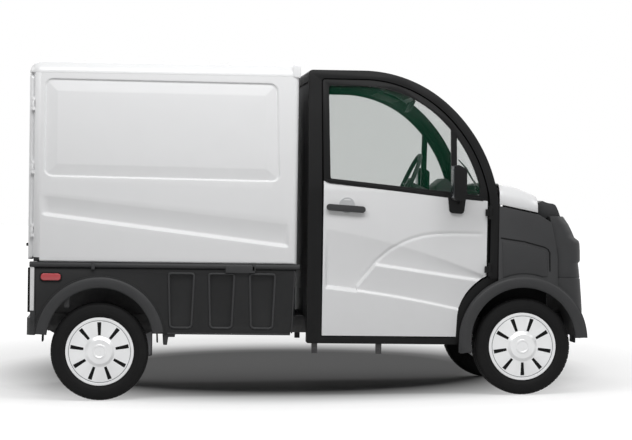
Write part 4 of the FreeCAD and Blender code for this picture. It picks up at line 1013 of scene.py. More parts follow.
@dataclass
class DoorSkin:
    """Pressed outer skins of the cab doors, with their lining and hinge knuckles.

    Attributes:
        grid: Step of the grid.
        columns: Its points along.
        rows: Its points up.
        wall: Thickness of a skin.
        rear_deep: Depth of the field behind the swage.
        upper_deep: Depth of the upper field ahead of it.
        lower_deep: Depth of the lower one.
        ridge: Depth of the groove along the swage.
        knuckles: Lowest and highest height of each hinge knuckle.
        crease: Points of the crease.
        upper_bead: Points of the bead between the fields.
        lower_bead: Points of the lowest bead.
        swage: Points of the arched swage.
    """

    grid: float = 5.5
    columns: int = 164
    rows: int = 155
    wall: float = 44.0
    rear_deep: float = 25.0
    upper_deep: float = 12.0
    lower_deep: float = 10.0
    ridge: float = 5.0
    knuckles: tuple[Point, ...] = ((982.5, 1018.5), (678.3, 713.7))
    crease: tuple[Point, ...] = ((105, 898), (505, 813), (946, 664))
    upper_bead: tuple[Point, ...] = ((369, 724), (902, 649))
    lower_bead: tuple[Point, ...] = ((97, 604), (505, 550), (805, 492))
    swage: tuple[Point, ...] = (
        (261, 607), (369, 740), (437, 797), (505, 835), (560, 858), (614, 873), (680, 882), (760, 886),
        (937, 885))

    def half(self, z: float) -> float:
        """Half width of the cab's outside at a height.

        Args:
            z: The height.

        Returns:
            The half width.
        """
        under = 686 + 0.0205 * (z - 232)
        over = 704 - 0.139 * (z - 1110)
        return under + (over - under) * ramp(z, 1085, 1135)

    def swage_height(self, x: float) -> float:
        """Height of the arched swage above a place, or a low value behind its end.

        Args:
            x: Place along.

        Returns:
            The height.
        """
        if x < self.swage[0][0]:
            return 0.0
        for (ax, az), (bx, bz) in zip(self.swage, self.swage[1:]):
            if x <= bx:
                return az + (bz - az) * (x - ax) / (bx - ax)
        return self.swage[-1][1]

    def swage_gap(self, x: float, z: float) -> float:
        """Distance to the swage's line.

        Args:
            x: Place along.
            z: Height.

        Returns:
            The distance.
        """
        best = 1e9
        for (ax, az), (bx, bz) in zip(self.swage, self.swage[1:]):
            run = (bx - ax) ** 2 + (bz - az) ** 2
            share = min(1.0, max(0.0, ((x - ax) * (bx - ax) + (z - az) * (bz - az)) / run))
            best = min(best, math.hypot(x - ax - share * (bx - ax), z - az - share * (bz - az)))
        return best

    @staticmethod
    def taper(z: float, top: float, foot: float, deep: float, lip: float) -> float:
        """Depth between a crease and the bead below it.

        Args:
            z: Height.
            top: Height of the crease.
            foot: Height of the bead.
            deep: Depth at the bead.
            lip: Height over which the bead comes back.

        Returns:
            The depth.
        """
        if foot < z < top:
            return deep * (1 - (1 - (top - z) / (top - foot)) ** 1.7)
        if foot - lip < z <= foot:
            return deep * (1 - ramp(foot - z, 0, lip))
        return 0.0

    def depth(self, x: float, z: float) -> float:
        """How far the skin lies inside its smooth form.

        Args:
            x: Place along.
            z: Height.

        Returns:
            The depth.
        """
        top, middle, foot = (fit(x, line) for line in (self.crease, self.upper_bead, self.lower_bead))
        rear = self.taper(z, top, foot, self.rear_deep, 22)
        ahead = self.taper(z, top, middle, self.upper_deep,
                           18) + self.taper(z, middle - 18, foot, self.lower_deep, 20)
        gap = self.swage_gap(x, z)
        share = ramp(gap, 0, 14) if z < self.swage_height(x) else 0.0
        sunk = rear + (ahead - rear) * share
        sunk += self.ridge * math.exp(-(gap / 7.5) ** 2) * ramp(x, 262, 330) * ramp(-x, -945, -900)
        return sunk * ramp(x, 88, 104) * ramp(-x, -952, -936)

    def outline(self) -> list[tuple[float, float]]:
        """Edge of the skin from the side."""
        well = arc((802.9, 450.7), (846.5, 562.7), (957.0, 660.6))
        return [(78, 334), (797, 334), *well, (957, 1062), (108, 1148), (78, 1158)]

    def build(self) -> None:
        """Makes both skins."""
        columns = [66 + self.grid * k for k in range(self.columns)]
        heights = [322 + self.grid * k for k in range(self.rows)]
        sunk = [[self.depth(x, z) for x in columns] for z in heights]
        for side, tag in SIDES:
            front = [[(x, side * (self.half(z) - deep), z) for x, deep in zip(columns, row)]
                     for z, row in zip(heights, sunk)]
            shape = Shape().slab(
                front, lambda p, side=side: (p[0], side * (self.half(p[2]) - self.wall), p[2]))
            plate = shape.mesh(f"door_plate_{tag}")
            tool = Shape().prism(self.outline(), *band(side, 600, 740))
            carve(plate, tool.mesh(f"door_cutter_{tag}"), Cut.INSIDE)
            smooth(plate, 40)
            dress(plate, WHITE, f"door_{tag}", [f"door_skin_{tag}"])
            plate.data.materials.append(DASH.build())
            for face in plate.data.polygons:
                if face.normal.y * side < -0.5:
                    face.material_index = 1
            hinges = Shape()
            for low, high in self.knuckles:
                hinges.tube([(970, side * 716, low), (970, side * 716, high)], 9, 16)
                hinges.brick(side, (946, 969), (684, 721), (low, high))
            dress(hinges.mesh(f"door_knuckles_{tag}", bevel=1), FRAME_BLACK, f"door_{tag}")


@dataclass
class ArchTrim:
    """Curved faces of the wheel arch flares and the lines of the plastic panels, of which the wing's black
    line is a painted shadow.

    Attributes:
        rear: Middle of the rear arch, along and up.
        front: Middle of the front arch.
        steps: Steps of a flare.
        section: Section of a flare, as radius and distance out.
        pockets_x: Places of the skirt's pockets.
    """

    rear: Point = (-1100.5, 294.0)
    front: Point = (1159.3, 320.0)
    steps: int = 56
    section: tuple[Point, ...] = (
        (281, 700), (281, 718), (284, 723), (291, 726), (303, 728.5), (318, 729), (331, 727), (338, 723),
        (341.5, 717), (345, 716), (346, 712), (346, 700))
    pockets_x: tuple[float, ...] = (-737.0, -524.0, -307.0)

    def flare(self, name: str, centre: Point, floors: Point, side: int) -> None:
        """One rolled flare.

        Args:
            name: Its name.
            centre: Middle of the arch, along and up.
            floors: Height at which its rear and front legs end.
            side: -1 for the right, 1 for the left.
        """
        start = math.pi - math.asin((floors[0] - centre[1]) / 314)
        end = math.asin((floors[1] - centre[1]) / 314)
        rows = []
        for k in range(self.steps + 1):
            angle = start + (end - start) * k / self.steps
            c, s = math.cos(angle), math.sin(angle)
            rows.append([(centre[0] + r * c, side * y, centre[1] + r * s) for r, y in self.section])
        obj = Shape().grid(rows, loop=True, capped=True).mesh(name)
        smooth(obj, 40)
        dress(obj, PLASTIC)

    def build(self) -> None:
        """Makes the flares, pocket rims and raised panels of both sides."""
        for side, tag in SIDES:
            self.flare(f"flare_rear_{tag}_rolled", self.rear, (328, 342), side)
            self.flare(f"flare_front_{tag}_rolled", self.front, (252, 336), side)
            self.pockets(side, tag)
            self.wing_panel(side, tag)

    def pockets(self, side: int, tag: str) -> None:
        """Raised rims of the three skirt pockets, and the skirt's lower hem.

        Args:
            side: -1 for the right, 1 for the left.
            tag: Word for the side in the names of pieces.
        """
        rims = Shape()
        outline = ((-3, 648), (5, 384), (12, 373), (24, 369), (102, 369), (114, 373), (121, 384), (131, 648),
                   (126, 655),
                   (116, 657), (12, 657), (2, 655), (-3, 648))
        for x in self.pockets_x:
            rims.tube([(x + dx, side * 700, z) for dx, z in outline], 6.2, 12)
        rims.tube([(-745, side * 699, 338), (-92, side * 699, 338)], 4.5, 10)
        rims.tube([(-84, side * 699, 345), (-72, side * 699, 672)], 4.0, 10)
        dress(rims.mesh(f"pocket_rims_{tag}"), PLASTIC)

    def wing_panel(self, side: int, tag: str) -> None:
        """The raised panel of the front wing above the arch, and a black line over it that paints the shadow
        along its upper edge.

        Args:
            side: -1 for the right, 1 for the left.
            tag: Word for the side in the names of pieces.
        """
        edge = [(1040, 848), (1158, 831), (1262, 803), (1274, 796), (1281, 780), (1284, 700), (1286, 660),
                (1268, 662),
                *arc((1262, 658), (1159.3, 676), (1056, 656), 14), (1044, 655)]
        raised = Shape().prism(edge, *band(side, 704, 709.5))
        dress(raised.mesh(f"wing_field_{tag}", bevel=2.5, segments=3), PLASTIC)
        # The line is black to paint the shadow along the raised panel's upper edge.
        line = ((1030, 866), (1158, 848), (1268, 819), (1287, 808), (1296, 790), (1299, 690))
        bead = Shape().tube([(x, side * 706, z) for x, z in line], 3.6, 10)
        dress(bead.mesh(f"wing_painted_shadow_line_{tag}"), FRAME_BLACK)


@dataclass
class Nose:
    """Front panel, bumper and bonnet lid as smooth mouldings.

    Attributes:
        panel: Height and foremost place of the front panel's sections at the nose's corners.
        bumper: The same for the bumper.
        seam: Height and place along of the joint with the wings.
        lid: Place along, half width, top and rounding of the bonnet's sections.
        half: Half width of the front panel and the bumper.
        corner: Rounding of their corners from above.
        slots: Heights of the grille's slots.
        pod: Side outline of the rounded pods under the bonnet's front edge.
        bracket: Side outline between the pods, at the lid's brackets.
        lamp: Side outline of the headlamps' pockets.
        arch: Radius of the front arch at the bumper.
    """

    panel: tuple[Point, ...] = (
        (656, 1474), (700, 1469), (734, 1464), (742, 1473), (750, 1475), (800, 1474), (840, 1471),
        (854, 1466), (872, 1442), (893, 1433), (940, 1409), (984, 1378))
    bumper: tuple[Point, ...] = (
        (331, 1461), (345, 1471), (378, 1489), (396, 1494.5), (412, 1494.5), (436, 1488), (484, 1488),
        (540, 1484), (600, 1479), (648, 1475), (656, 1470))
    seam: tuple[Point, ...] = ((640, 1342), (759, 1340), (823, 1331), (925, 1310), (984, 1296))
    lid: tuple[Point, ...] = (
        (1023, 699, 1157, 84), (1040, 698, 1154, 84), (1091, 696, 1144, 84), (1134, 691, 1130, 82),
        (1177, 684, 1114, 80), (1216, 674, 1098, 76), (1232, 666, 1089, 74), (1237, 662, 1083, 70))
    half: tuple[float, float] = (690.0, 694.0)
    corner: float = 66.0
    slots: tuple[float, ...] = (705, 745, 785, 825)
    pod: tuple[Point, ...] = (
        (1242, 972), (1242, 1040), (1246, 1054), (1256, 1063), (1270, 1067), (1286, 1060), (1304, 1055),
        (1328, 1052), (1340, 1046), (1348, 1034), (1358, 1012), (1372, 972))
    bracket: tuple[Point, ...] = (
        (1286, 970), (1286, 1046), (1304, 1051), (1328, 1049), (1340, 1043), (1348, 1031), (1371, 970))
    lamp: tuple[Point, ...] = ((1402, 990), (1450, 904), (1402, 878), (1356, 962))
    arch: float = 311.0

    def start(self, z: float) -> float:
        """Where a section's side wall starts.

        Args:
            z: Height of the section.

        Returns:
            The place along.
        """
        along, up = ArchTrim.front
        if z < 658:
            return max(1342.4, along + math.sqrt(max(0.0, self.arch ** 2 - (z - up) ** 2)))
        for (az, ax), (bz, bx) in zip(self.seam, self.seam[1:]):
            if z <= bz:
                return ax + (bx - ax) * (z - az) / (bz - az) + 0.6
        return self.seam[-1][1]

    def ring(self, z: float, front: float, half: float) -> list[Point]:
        """One level section, from the right-hand seam round the nose to the left-hand one.

        Args:
            z: Its height.
            front: Place along of its front at the corners.
            half: Its half width.

        Returns:
            Its points.
        """
        start, radius = self.start(z), self.corner
        inner = half - radius
        turn = [math.pi / 2 * k / 8 for k in range(9)]
        right = [(start, -half), (front - radius - 30, -half)]
        right += [(front - radius + radius * math.sin(a), -inner - radius * math.cos(a)) for a in turn]
        ahead = [(front + 6 * (1 - (y / inner) ** 2), y) for y in (inner * k / 6 for k in range(-5, 6))]
        return [(max(x, start), y, z) for x, y in right + ahead + [(x, -y) for x, y in right[::-1]]]

    def build(self) -> None:
        """Makes the mouldings."""
        for name, table, half in zip(("front_panel", "front_bumper"), (self.panel, self.bumper), self.half):
            shape = Shape().grid([self.ring(z, x, half) for z, x in table], loop=True, capped=True)
            if name == "front_panel":
                self.cap(shape)
            obj = shape.mesh(name + "_moulded", bevel=2.0)
            if name == "front_panel":
                for side, tag in SIDES:
                    carve(obj, Shape().prism(self.lamp, *band(side, 428, 592)).mesh(f"lamp_pocket_{tag}"))
            smooth(obj, 26)
            dress(obj, PLASTIC, "body", [name])
        grille = Shape()
        for z in self.slots:
            back = [x for height, x in self.panel if height <= z + 12][-1] - 20
            rows = [(y, back + 27.2 - 6 * (y / 624) ** 2) for y in range(-300, 301, 50)]
            grille.grid([[(back, y, z), (x, y, z), (x, y, z + 18), (back, y, z + 18)] for y, x in rows],
                        loop=True, capped=True)
        dress(grille.mesh("grille_slots", bevel=1), FRAME_BLACK)
        self.bonnet()

    def cap(self, shape: Shape) -> None:
        """Adds the rounded pods that close the bonnet's front edge, with the lid's brackets between them.

        Args:
            shape: The front panel.
        """
        for near, far in ((-606, -306), (306, 606), (-236, 236)):
            shape.prism(self.pod, near, far)
        for near, far in ((-307, -235), (235, 307)):
            shape.prism(self.bracket, near, far)
        for side, _ in SIDES:
            shape.tube([(1270, side * 250, 1074), (1270, side * 300, 1074)], 5, 16)
            shape.tube([(1270, side * 250, 1074), (1270, side * 268, 1074)], 10, 20)
            shape.brick(side, (1270, 1290), (250, 268), (1040, 1074))

    def bonnet(self) -> None:
        """The lid: a shell through its cross sections, with hinge eyes."""
        turn = [math.pi / 2 * k / 8 for k in range(9)]
        rows = []
        for x, half, top, radius in self.lid:
            foot = 1050 - (x - 1000) * 0.2
            faces = []
            for inset in (0.0, 11.0):
                bend, side, crown = radius - inset, half - inset, top - inset
                flat = side - bend
                right = [(x, -side, foot)]
                right += [(x, -side + bend - bend * math.cos(a), crown - bend + bend * math.sin(a))
                          for a in turn]
                middle = [(x, y, crown + 5 * (1 - (y / flat) ** 2))
                          for y in (flat * k / 5 for k in range(-4, 5))]
                faces.append(right + middle + [(px, -py, pz) for px, py, pz in right[::-1]])
            rows.append(faces[0] + faces[1][::-1])
        shape = Shape().grid(rows, loop=True, capped=True)
        for side, _ in SIDES:
            shape.tube([(1270, side * 269, 1074), (1270, side * 290, 1074)], 9, 20)
            shape.prism([(1230, 1066), (1270, 1066), (1270, 1078), (1230, 1080)], *band(side, 276, 290))
        obj = shape.mesh("bonnet_moulded", bevel=1.5)
        smooth(obj, 30)
        dress(obj, WHITE, "bonnet", ["bonnet"])


@dataclass
class Seals:
    """Black seals behind the door gaps, inner wheel housings and the flanges over the skirts.

    Attributes:
        roof: Height of the roof at the door post.
        deep: Depth of the seals' faces behind the door's outside.
        housing: Section of a wheel housing, as radius in the arch and distance out.
        skin: The door skins, for the cab's width.
    """

    roof: float = 1752.0
    deep: tuple[float, float] = (46.0, 54.0)
    housing: tuple[Point, ...] = ((338, 684), (388, 684), (388, 640), (338, 640))
    skin: DoorSkin = field(default_factory=DoorSkin)

    def half(self, z: float) -> float:
        """Half width of the cab's outside at a height."""
        return self.skin.half(z) + 2

    def arch(self, inset: float) -> list[tuple[float, float]]:
        """The roof line, from the door post over the roof and down the screen post.

        Args:
            inset: Distance inside the line.

        Returns:
            Its points, along and up.
        """
        points = [(70 + inset, z) for z in (340, 1100, 1600, self.roof - 40 - inset)]
        for x, z, radius, start, turn, steps in ((290, 1068, 644, 0, 41.8, range(13)),
                                                 (196, 962.9, 785, 41.8, 48.2, range(1, 15))):
            for k in steps:
                angle = math.radians(start + turn * k / steps[-1])
                points.append((x + (radius - inset) * math.sin(angle),
                               z + (radius - inset) * math.cos(angle)))
        return points + [(981 - inset, 800), (981 - inset, 672)]

    def build(self) -> None:
        """Makes them on both sides."""
        near, far = self.deep
        along, up = ArchTrim.front
        for side, tag in SIDES:
            rows = []
            for (ax, az), (bx, bz) in zip(self.arch(-2), self.arch(24)):
                corners = ((ax, az, near), (bx, bz, near), (bx, bz, far), (ax, az, far))
                rows.append([(x, side * (self.half(z) - deep), z) for x, z, deep in corners])
            seal = Shape().grid(rows, loop=True, capped=True).brick(side, (60, 806), (636, 642), (318, 350))
            dress(seal.mesh(f"door_seal_{tag}"), FRAME_BLACK)
            rows = []
            for k in range(25):
                angle = math.radians(184 - 72 * k / 24)
                c, s = math.cos(angle), math.sin(angle)
                rows.append([(along + r * c, side * y, up + r * s) for r, y in self.housing])
            house = Shape().grid(rows, loop=True, capped=True)
            inner = ((330, 392), (336, 392), (336, 634), (430, 634), (430, 640), (330, 640))
            house.prism([(side * y, z) for y, z in inner], 963, 1345, Axis.ALONG)
            house.brick(side, (1014, 1052), (640, 684), (960, 1034))
            dress(house.mesh(f"wheel_house_{tag}"), FRAME_BLACK)
            flange = Shape().brick(side, (-1466, -66), (664, 690), (674, 711))
            dress(flange.mesh(f"skirt_flange_{tag}"), FRAME_BLACK)
            joint = Shape().brick(side, (-1459.4, -1453), (664, 691), (740, 1700))
            dress(joint.mesh(f"load_door_seal_{tag}"), WHITE)


@dataclass
class WheelTrim:
    """Black backing that paints the shade seen through the covers' slots, painted line, lip and hub disc of
    the wheel covers.

    Attributes:
        rings: Name, finish, faces round it, and profile of each, as distance out and radius.
    """

    rings: tuple[tuple[str, Finish, int, tuple[Point, ...]], ...] = (
        # The black backing stands for the shade seen through the cover's slots: painted shade.
        ("back", FRAME_BLACK, 48, ((53.1, 82), (53.1, 160), (51.6, 160), (51.6, 82))),
        ("line", PACK_GREY, 72, ((65.6, 162), (67.1, 162.2), (67.1, 165), (63.6, 166))),
        ("lip", SILVER, 72, ((58.6, 172), (64.6, 168), (68.1, 170), (69.1, 175), (67.6, 180), (60.6, 180.8))),
        ("hub", SILVER, 48, (
            (70, 0.4), (79.2, 0.4), (80, 8), (79.6, 26), (81.4, 29), (81.2, 36), (79.4, 39), (76, 39))))

    def build(self) -> None:
        """Makes the trim of each wheel."""
        tyres = TyreSet()
        for end, x in tyres.wheel_x.items():
            for side, tag in SIDES:
                centre = (x, side * tyres.wheel_y, tyres.radius)
                for name, finish, steps, profile in self.rings:
                    ring = Shape(Space.GROUND).lathe(profile, centre, (0, side, 0), steps)
                    dress(ring.mesh(f"cover_{name}_{end}_{tag}"), finish, f"wheel_{end}_{tag}")


@dataclass
class TyreSet:
    """Four road tyres: carcass with sidewall rings, and tread blocks.

    Attributes:
        wheel_x: Places of the axles.
        wheel_y: Middle of a wheel.
        radius: Radius of a tyre.
        half_wide: Half its width.
        bead: Radius of the rim.
        blocks: Blocks in one row of the tread.
    """

    wheel_x: dict[str, float] = field(default_factory=lambda: {"rear": -1111.0, "front": 1149.0})
    wheel_y: float = 612.0
    radius: float = 260.0
    half_wide: float = 75.0
    bead: float = 166.5
    blocks: int = 64

    def build(self) -> None:
        """Makes the tyres."""
        tread = Swarm("tread_blocks", TYRE)
        for end, x in self.wheel_x.items():
            for side, tag in SIDES:
                body = f"wheel_{end}_{tag}"
                centre = (x, side * self.wheel_y, self.radius)
                carcass = Shape(Space.GROUND).lathe(self.outline(), centre, (0, side, 0), steps=72)
                dress(carcass.mesh(f"tyre_{end}_{tag}_carcass"), TYRE, body, [f"tyre_{end}_{tag}"])
                tread.scatter(f"tyre_{end}_{tag}_tread", self.spots(centre), Space.GROUND, body, bevel=0.5,
                              Width=21.0, Length=20.0, Height=4.0)

    def outline(self) -> list[tuple[float, float]]:
        """Section of the carcass, outward side first, with three grooves round the tread.

        Returns:
            Closed ring of (across, radius) pairs.
        """
        w, r = self.half_wide, self.radius
        ring = self.bead + 16
        half = [(w - 15, self.bead), (w - 15, ring), (w - 9, ring + 2), (w - 4, ring + 12),
                (w - 1, ring + 20), (w, ring + 24),
                (w - 1, ring + 26), (w, ring + 30), (w, 222), (w - 2, 228), (w - 2, 232), (w - 4, 240),
                (w - 9, 249),
                (w - 17, r - 7), (w - 27, r - 4)]
        for middle in (30, 0):
            half += [(middle + 4, r - 3.5), (middle + 3, r - 8)]
            if middle:
                half += [(middle - 3, r - 8), (middle - 4, r - 3.5)]
        return half + [(-a, b) for a, b in half[::-1]]

    def spots(self, centre: Point) -> list[tuple[Point, Point, Point]]:
        """Where the tread blocks stand.

        Args:
            centre: Middle of the wheel.

        Returns:
            Place, facing and heading of each block.
        """
        found = []
        for across in (-50, -15, 15, 50):
            shoulder = abs(across) > 40
            for k in range(self.blocks):
                angle = math.tau * (k + (0.5 if shoulder else 0)) / self.blocks
                out = Vector((math.cos(angle), 0, math.sin(angle)))
                spot = Vector(centre) + out * (self.radius - (4.3
                                                              if shoulder else 2.4)) + Vector((0, across, 0))
                facing = out + Vector((0, 0.2 * across / 50, 0)) if shoulder else out
                found.append((spot, facing.normalized(), Vector((-out.z, 0, out.x))))
        return found


@dataclass
class Cabin:
    """Seats, steering wheel, mirror, visors and small controls.

    Attributes:
        seat_y: Middle of a seat.
        hub: Middle of the steering wheel.
        tilt: Tilt of its axis, in degrees.
        rim: Its radius.
        seat: Sections of a cushion.
        back: Sections of a backrest.
        seat_piping: Points of the piping on a cushion.
        back_piping: Points of the piping on a backrest.
    """

    seat_y: float = 330.0
    hub: tuple[float, float, float] = (640.0, 330.0, 1150.0)
    tilt: float = 24.0
    rim: float = 180.0
    seat: tuple[tuple[float, ...], ...] = (
        (74, 568, 620, 0.82), (84, 562, 640, 0.97), (130, 562, 646, 1.0), (200, 562, 636, 1.0),
        (300, 562, 640, 1.0), (390, 562, 654, 1.0), (448, 566, 650, 0.97), (464, 588, 634, 0.86))
    back: tuple[tuple[float, ...], ...] = (
        (652, 46, 96, 0.85), (668, 34, 112, 0.97), (760, 30, 104, 1.0), (900, 26, 94, 1.0),
        (1050, 24, 88, 0.98), (1140, 22, 82, 0.93), (1172, 26, 72, 0.8))
    seat_piping: tuple[Point, ...] = ((100, 208, 643), (200, 212, 634), (300, 212, 638), (400, 208, 651))
    back_piping: tuple[Point, ...] = ((106, 198, 700), (98, 204, 860), (90, 200, 1050), (80, 184, 1140))

    def build(self) -> None:
        """Makes the inside of the cab."""
        self.seats()
        self.steering_wheel()
        self.small_parts()

    def cushion(self, name: str, rows: Sequence[Point], half: float, upright: bool) -> bpy.types.Object:
        """One crowned pad.

        Args:
            name: Its name.
            rows: (x, low z, high z, share of full width) of its sections, with x and z swapped when upright.
            half: Half width.
            upright: Whether the rows climb.

        Returns:
            The pad.
        """
        middle = self.seat_y if "left" in name else -self.seat_y
        rings = []
        for place, low, high, share in rows:
            ring = []
            for angle in (math.tau * k / 16 for k in range(16)):
                u, v = (math.copysign(abs(w) ** 0.42, w) for w in (math.cos(angle), math.sin(angle)))
                y = middle + u * half * share
                depth = (low + high) / 2 + v * (high - low) / 2 * (1 - 0.1 * abs(u) ** 4)
                ring.append((depth, y, place) if upright else (place, y, depth))
            rings.append(ring)
        return Shape().grid(rings, loop=True, capped=True).mesh(name, levels=2)

    def seats(self) -> None:
        """Two seats of cushion and backrest, of which the first cushion stands for the node."""
        pads = []
        for _, tag in SIDES:
            pads.append(self.cushion(f"seat_{tag}_pad", self.seat, 226, False))
            pads.append(self.cushion(f"back_{tag}_pad", self.back, 216, True))
        for k, pad in enumerate(pads):
            dress(pad, FABRIC, "body", ["seats"] if k == 0 else [])
        piping = Shape()
        for side, _ in SIDES:
            for edge in (-1, 1):
                for line in (self.seat_piping, self.back_piping):
                    piping.tube([(x, side * self.seat_y + edge * y, z) for x, y, z in line], 3.5, 8)
        dress(piping.mesh("seat_piping"), DASH)

    def column(self, reach: float, around: float = 0.0, angle: float = 0.0) -> Vector:
        """A point about the steering axis.

        Args:
            reach: Distance down the axis from the hub.
            around: Distance from the axis.
            angle: Angle round it.

        Returns:
            The point.
        """
        lean = math.radians(self.tilt)
        run = Vector((math.cos(lean), 0, -math.sin(lean)))
        up = Vector((math.sin(lean), 0, math.cos(lean)))
        side = Vector((0, 1, 0))
        return Vector(self.hub) + run * reach + (side * math.cos(angle) + up * math.sin(angle)) * around

    def steering_wheel(self) -> None:
        """Rim, three spokes and hub pad."""
        shape = Shape()
        run = self.column(1) - self.column(0)
        section = [(math.cos(a) * 12.5, self.rim + math.sin(a) * 12.5)
                   for a in (math.tau * k / 12 for k in range(12))]
        shape.lathe(section, self.column(0), run, 64)
        for angle in (math.radians(a) for a in (0, 180, 270)):
            shape.tube([self.column(14, 30, angle), self.column(10, 100, angle),
                        self.column(2, self.rim - 4, angle)], [15, 10, 9], 10)
        shape.lathe([(-6, 0.5), (-6, 34), (2, 41), (28, 40), (32, 24), (32, 0.5)], self.column(0), run, 32)
        dress(shape.mesh("steering_wheel_made", bevel=1.0), DASH, "steering_wheel", ["steering_wheel"])

    def small_parts(self) -> None:
        """Interior mirror, visors, vents, lever and pedals."""
        mirror = Shape().prism([(598, 1560), (608, 1556), (634, 1612), (624, 1618)], -105, 105)
        mirror.tube([(628, 0, 1600), (640, 0, 1632), (636, 0, 1650)], 6)
        dress(mirror.mesh("interior_mirror", bevel=6), DASH)
        visors = Shape()
        for side, _ in SIDES:
            visors.prism([(566, 1616), (570, 1624), (446, 1668), (442, 1660)], *band(side, 120, 470))
        dress(visors.mesh("sun_visors", bevel=3), LINING)
        vents = Shape()
        for y in (-430, -60, 60, 430):
            vents.tube([(696, y, 1016), (712, y, 1012)], [34, 38], 24)
        dress(vents.mesh("dash_vents", bevel=2), FRAME_BLACK)
        lever = Shape().tube([(560, 60, 560), (566, 60, 660), (572, 60, 716)], [9, 8, 8], 12)
        lever.tube([(572, 60, 706), (574, 60, 724), (575, 60, 748)], [12, 22, 14], 16)
        dress(lever.mesh("drive_lever", bevel=1), DASH)
        pedals = Shape()
        for y in (250, 340):
            pedals.prism([(822, 540), (830, 546), (800, 610), (792, 606)], y - 26, y + 26)
            pedals.tube([(806, y, 606), (846, y, 700)], 7)
        dress(pedals.mesh("pedals", bevel=2), STEEL)


@dataclass
class DoorTrim:
    """Waist strips, handles and mirror faces of both cab doors.

    Attributes:
        belt: Half width of the cab at the waist.
    """

    belt: float = 706.0

    def build(self) -> None:
        """Makes the trim of each door."""
        belt = self.belt
        for side, tag in SIDES:
            body = f"door_{tag}"
            strip = [(84, 1156), (110, 1146), (750, 1076), (934, 1061), (934, 1078), (750, 1096), (118, 1164),
                     (84, 1172)]
            shape = Shape().prism(strip, *band(side, belt - 1, belt - 9))
            dress(shape.mesh(f"waist_strip_{tag}", bevel=2), FRAME_BLACK, body)
            bowl = [(0, 44), (2.5, 43), (3, 39), (0.5, 34), (0.5, 0.5), (-3, 0.5), (-3, 44)]
            shape = Shape().lathe(bowl, (203, side * (belt - 3.6), 1030), (0, side, 0), 32)
            # The dish takes the darker white: painted shade in its recess.
            dress(shape.mesh(f"handle_dish_{tag}"), WHITE_PAINTED_SHADE, body)
            grip = [*arc((108, 1001), (92, 1020), (110, 1036), 8),
                    *arc((284, 1025), (301, 1007), (282, 990), 8)]
            shape = Shape().prism(grip, *band(side, belt + 6, belt + 20))
            for x, z in ((116, 1018), (278, 1007)):
                shape.tube([(x, side * (belt - 6), z), (x, side * (belt + 10), z)], 8)
            dress(shape.mesh(f"door_handle_{tag}", bevel=4, segments=3), PLASTIC, body)
            face = [(753.5, 1078), (757, 1078), (757, 1246), (753.5, 1246)]
            shape = Shape().prism(face, *band(side, belt + 30, belt + 150))
            dress(shape.mesh(f"mirror_face_{tag}", bevel=1), MIRROR_GLASS, body)


@dataclass
class LampSet:
    """Head, tail and marker lamps.

    Attributes:
        cover: Side outline of a headlamp's cover.
        bowl: Profile of a reflector bowl.
        lenses: Foot, top and finish of each tail lens.
        bars: Foot and top of each bar between them.
        marker: Middle of a side marker.
        pill: Its outline.
    """

    cover: tuple[Point, ...] = ((1378, 979), (1386, 983), (1416, 942), (1439, 899), (1431, 895), (1408, 938))
    bowl: tuple[Point, ...] = ((0, 36), (2, 38), (2, 34), (-8, 22), (-10, 0.5), (-12, 0.5), (-12, 36))
    lenses: tuple[tuple[float, float, Finish], ...] = (
        (450, 522, RED_LENS), (526, 596, AMBER_LENS), (600, 670, RED_LENS))
    bars: tuple[Point, ...] = ((444, 449), (522.5, 525.5), (596.5, 599.5), (671, 678))
    marker: tuple[float, float] = (-1361.5, 631.5)
    pill: tuple[Point, ...] = (
        (-1402, 613), (-1321, 613), (-1311, 619), (-1309, 631), (-1311, 643), (-1321, 650), (-1402, 650),
        (-1412, 643), (-1414, 631), (-1412, 619))

    def build(self) -> None:
        """Makes the lamps."""
        self.head()
        self.tail()

    def head(self) -> None:
        """Reflector bowls under a clear cover."""
        for side, tag in SIDES:
            cover = Shape().prism(self.cover, *band(side, 424, 596)).mesh(f"headlamp_cover_{tag}", bevel=2)
            dress(cover, LENS, "body", ["headlamps"] if side < 0 else [])
            bowls = Shape()
            for y in (465, 555):
                bowls.lathe(self.bowl, (1398, side * y, 934), (0.87, 0, 0.49), 32)
            dress(bowls.mesh(f"headlamp_bowls_{tag}"), MIRROR)

    def tail(self) -> None:
        """Stacked rear lenses and the side markers, each with its black surround."""
        for side, tag in SIDES:
            for k, (low, high, finish) in enumerate(self.lenses):
                lens = Shape().brick(side, (-1480, -1468.5), (617, 693), (low, high))
                lens = lens.mesh(f"tail_lens_{k}_{tag}", bevel=3, segments=3)
                dress(lens, finish, "body", ["rear_lamps"] if k == 0 and side < 0 else [])
            bezel = Shape()
            for out in ((693.5, 697), (612, 616.5)):
                bezel.brick(side, (-1482, -1464), out, (444, 678))
            for bar in self.bars:
                bezel.brick(side, (-1482, -1466), (614, 695), bar)
            dress(bezel.mesh(f"tail_bezel_{tag}", bevel=1), FRAME_BLACK)
            lens = Shape().prism(self.pill, *band(side, 700, 711))
            dress(lens.mesh(f"marker_lens_{tag}", bevel=3, segments=3), RED_LENS)
            along, up = self.marker
            rim = [(along + (x - along) * 1.12, up + (z - up) * 1.3) for x, z in self.pill]
            dress(Shape().prism(rim, *band(side, 699, 705)).mesh(f"marker_rim_{tag}", bevel=2), FRAME_BLACK)


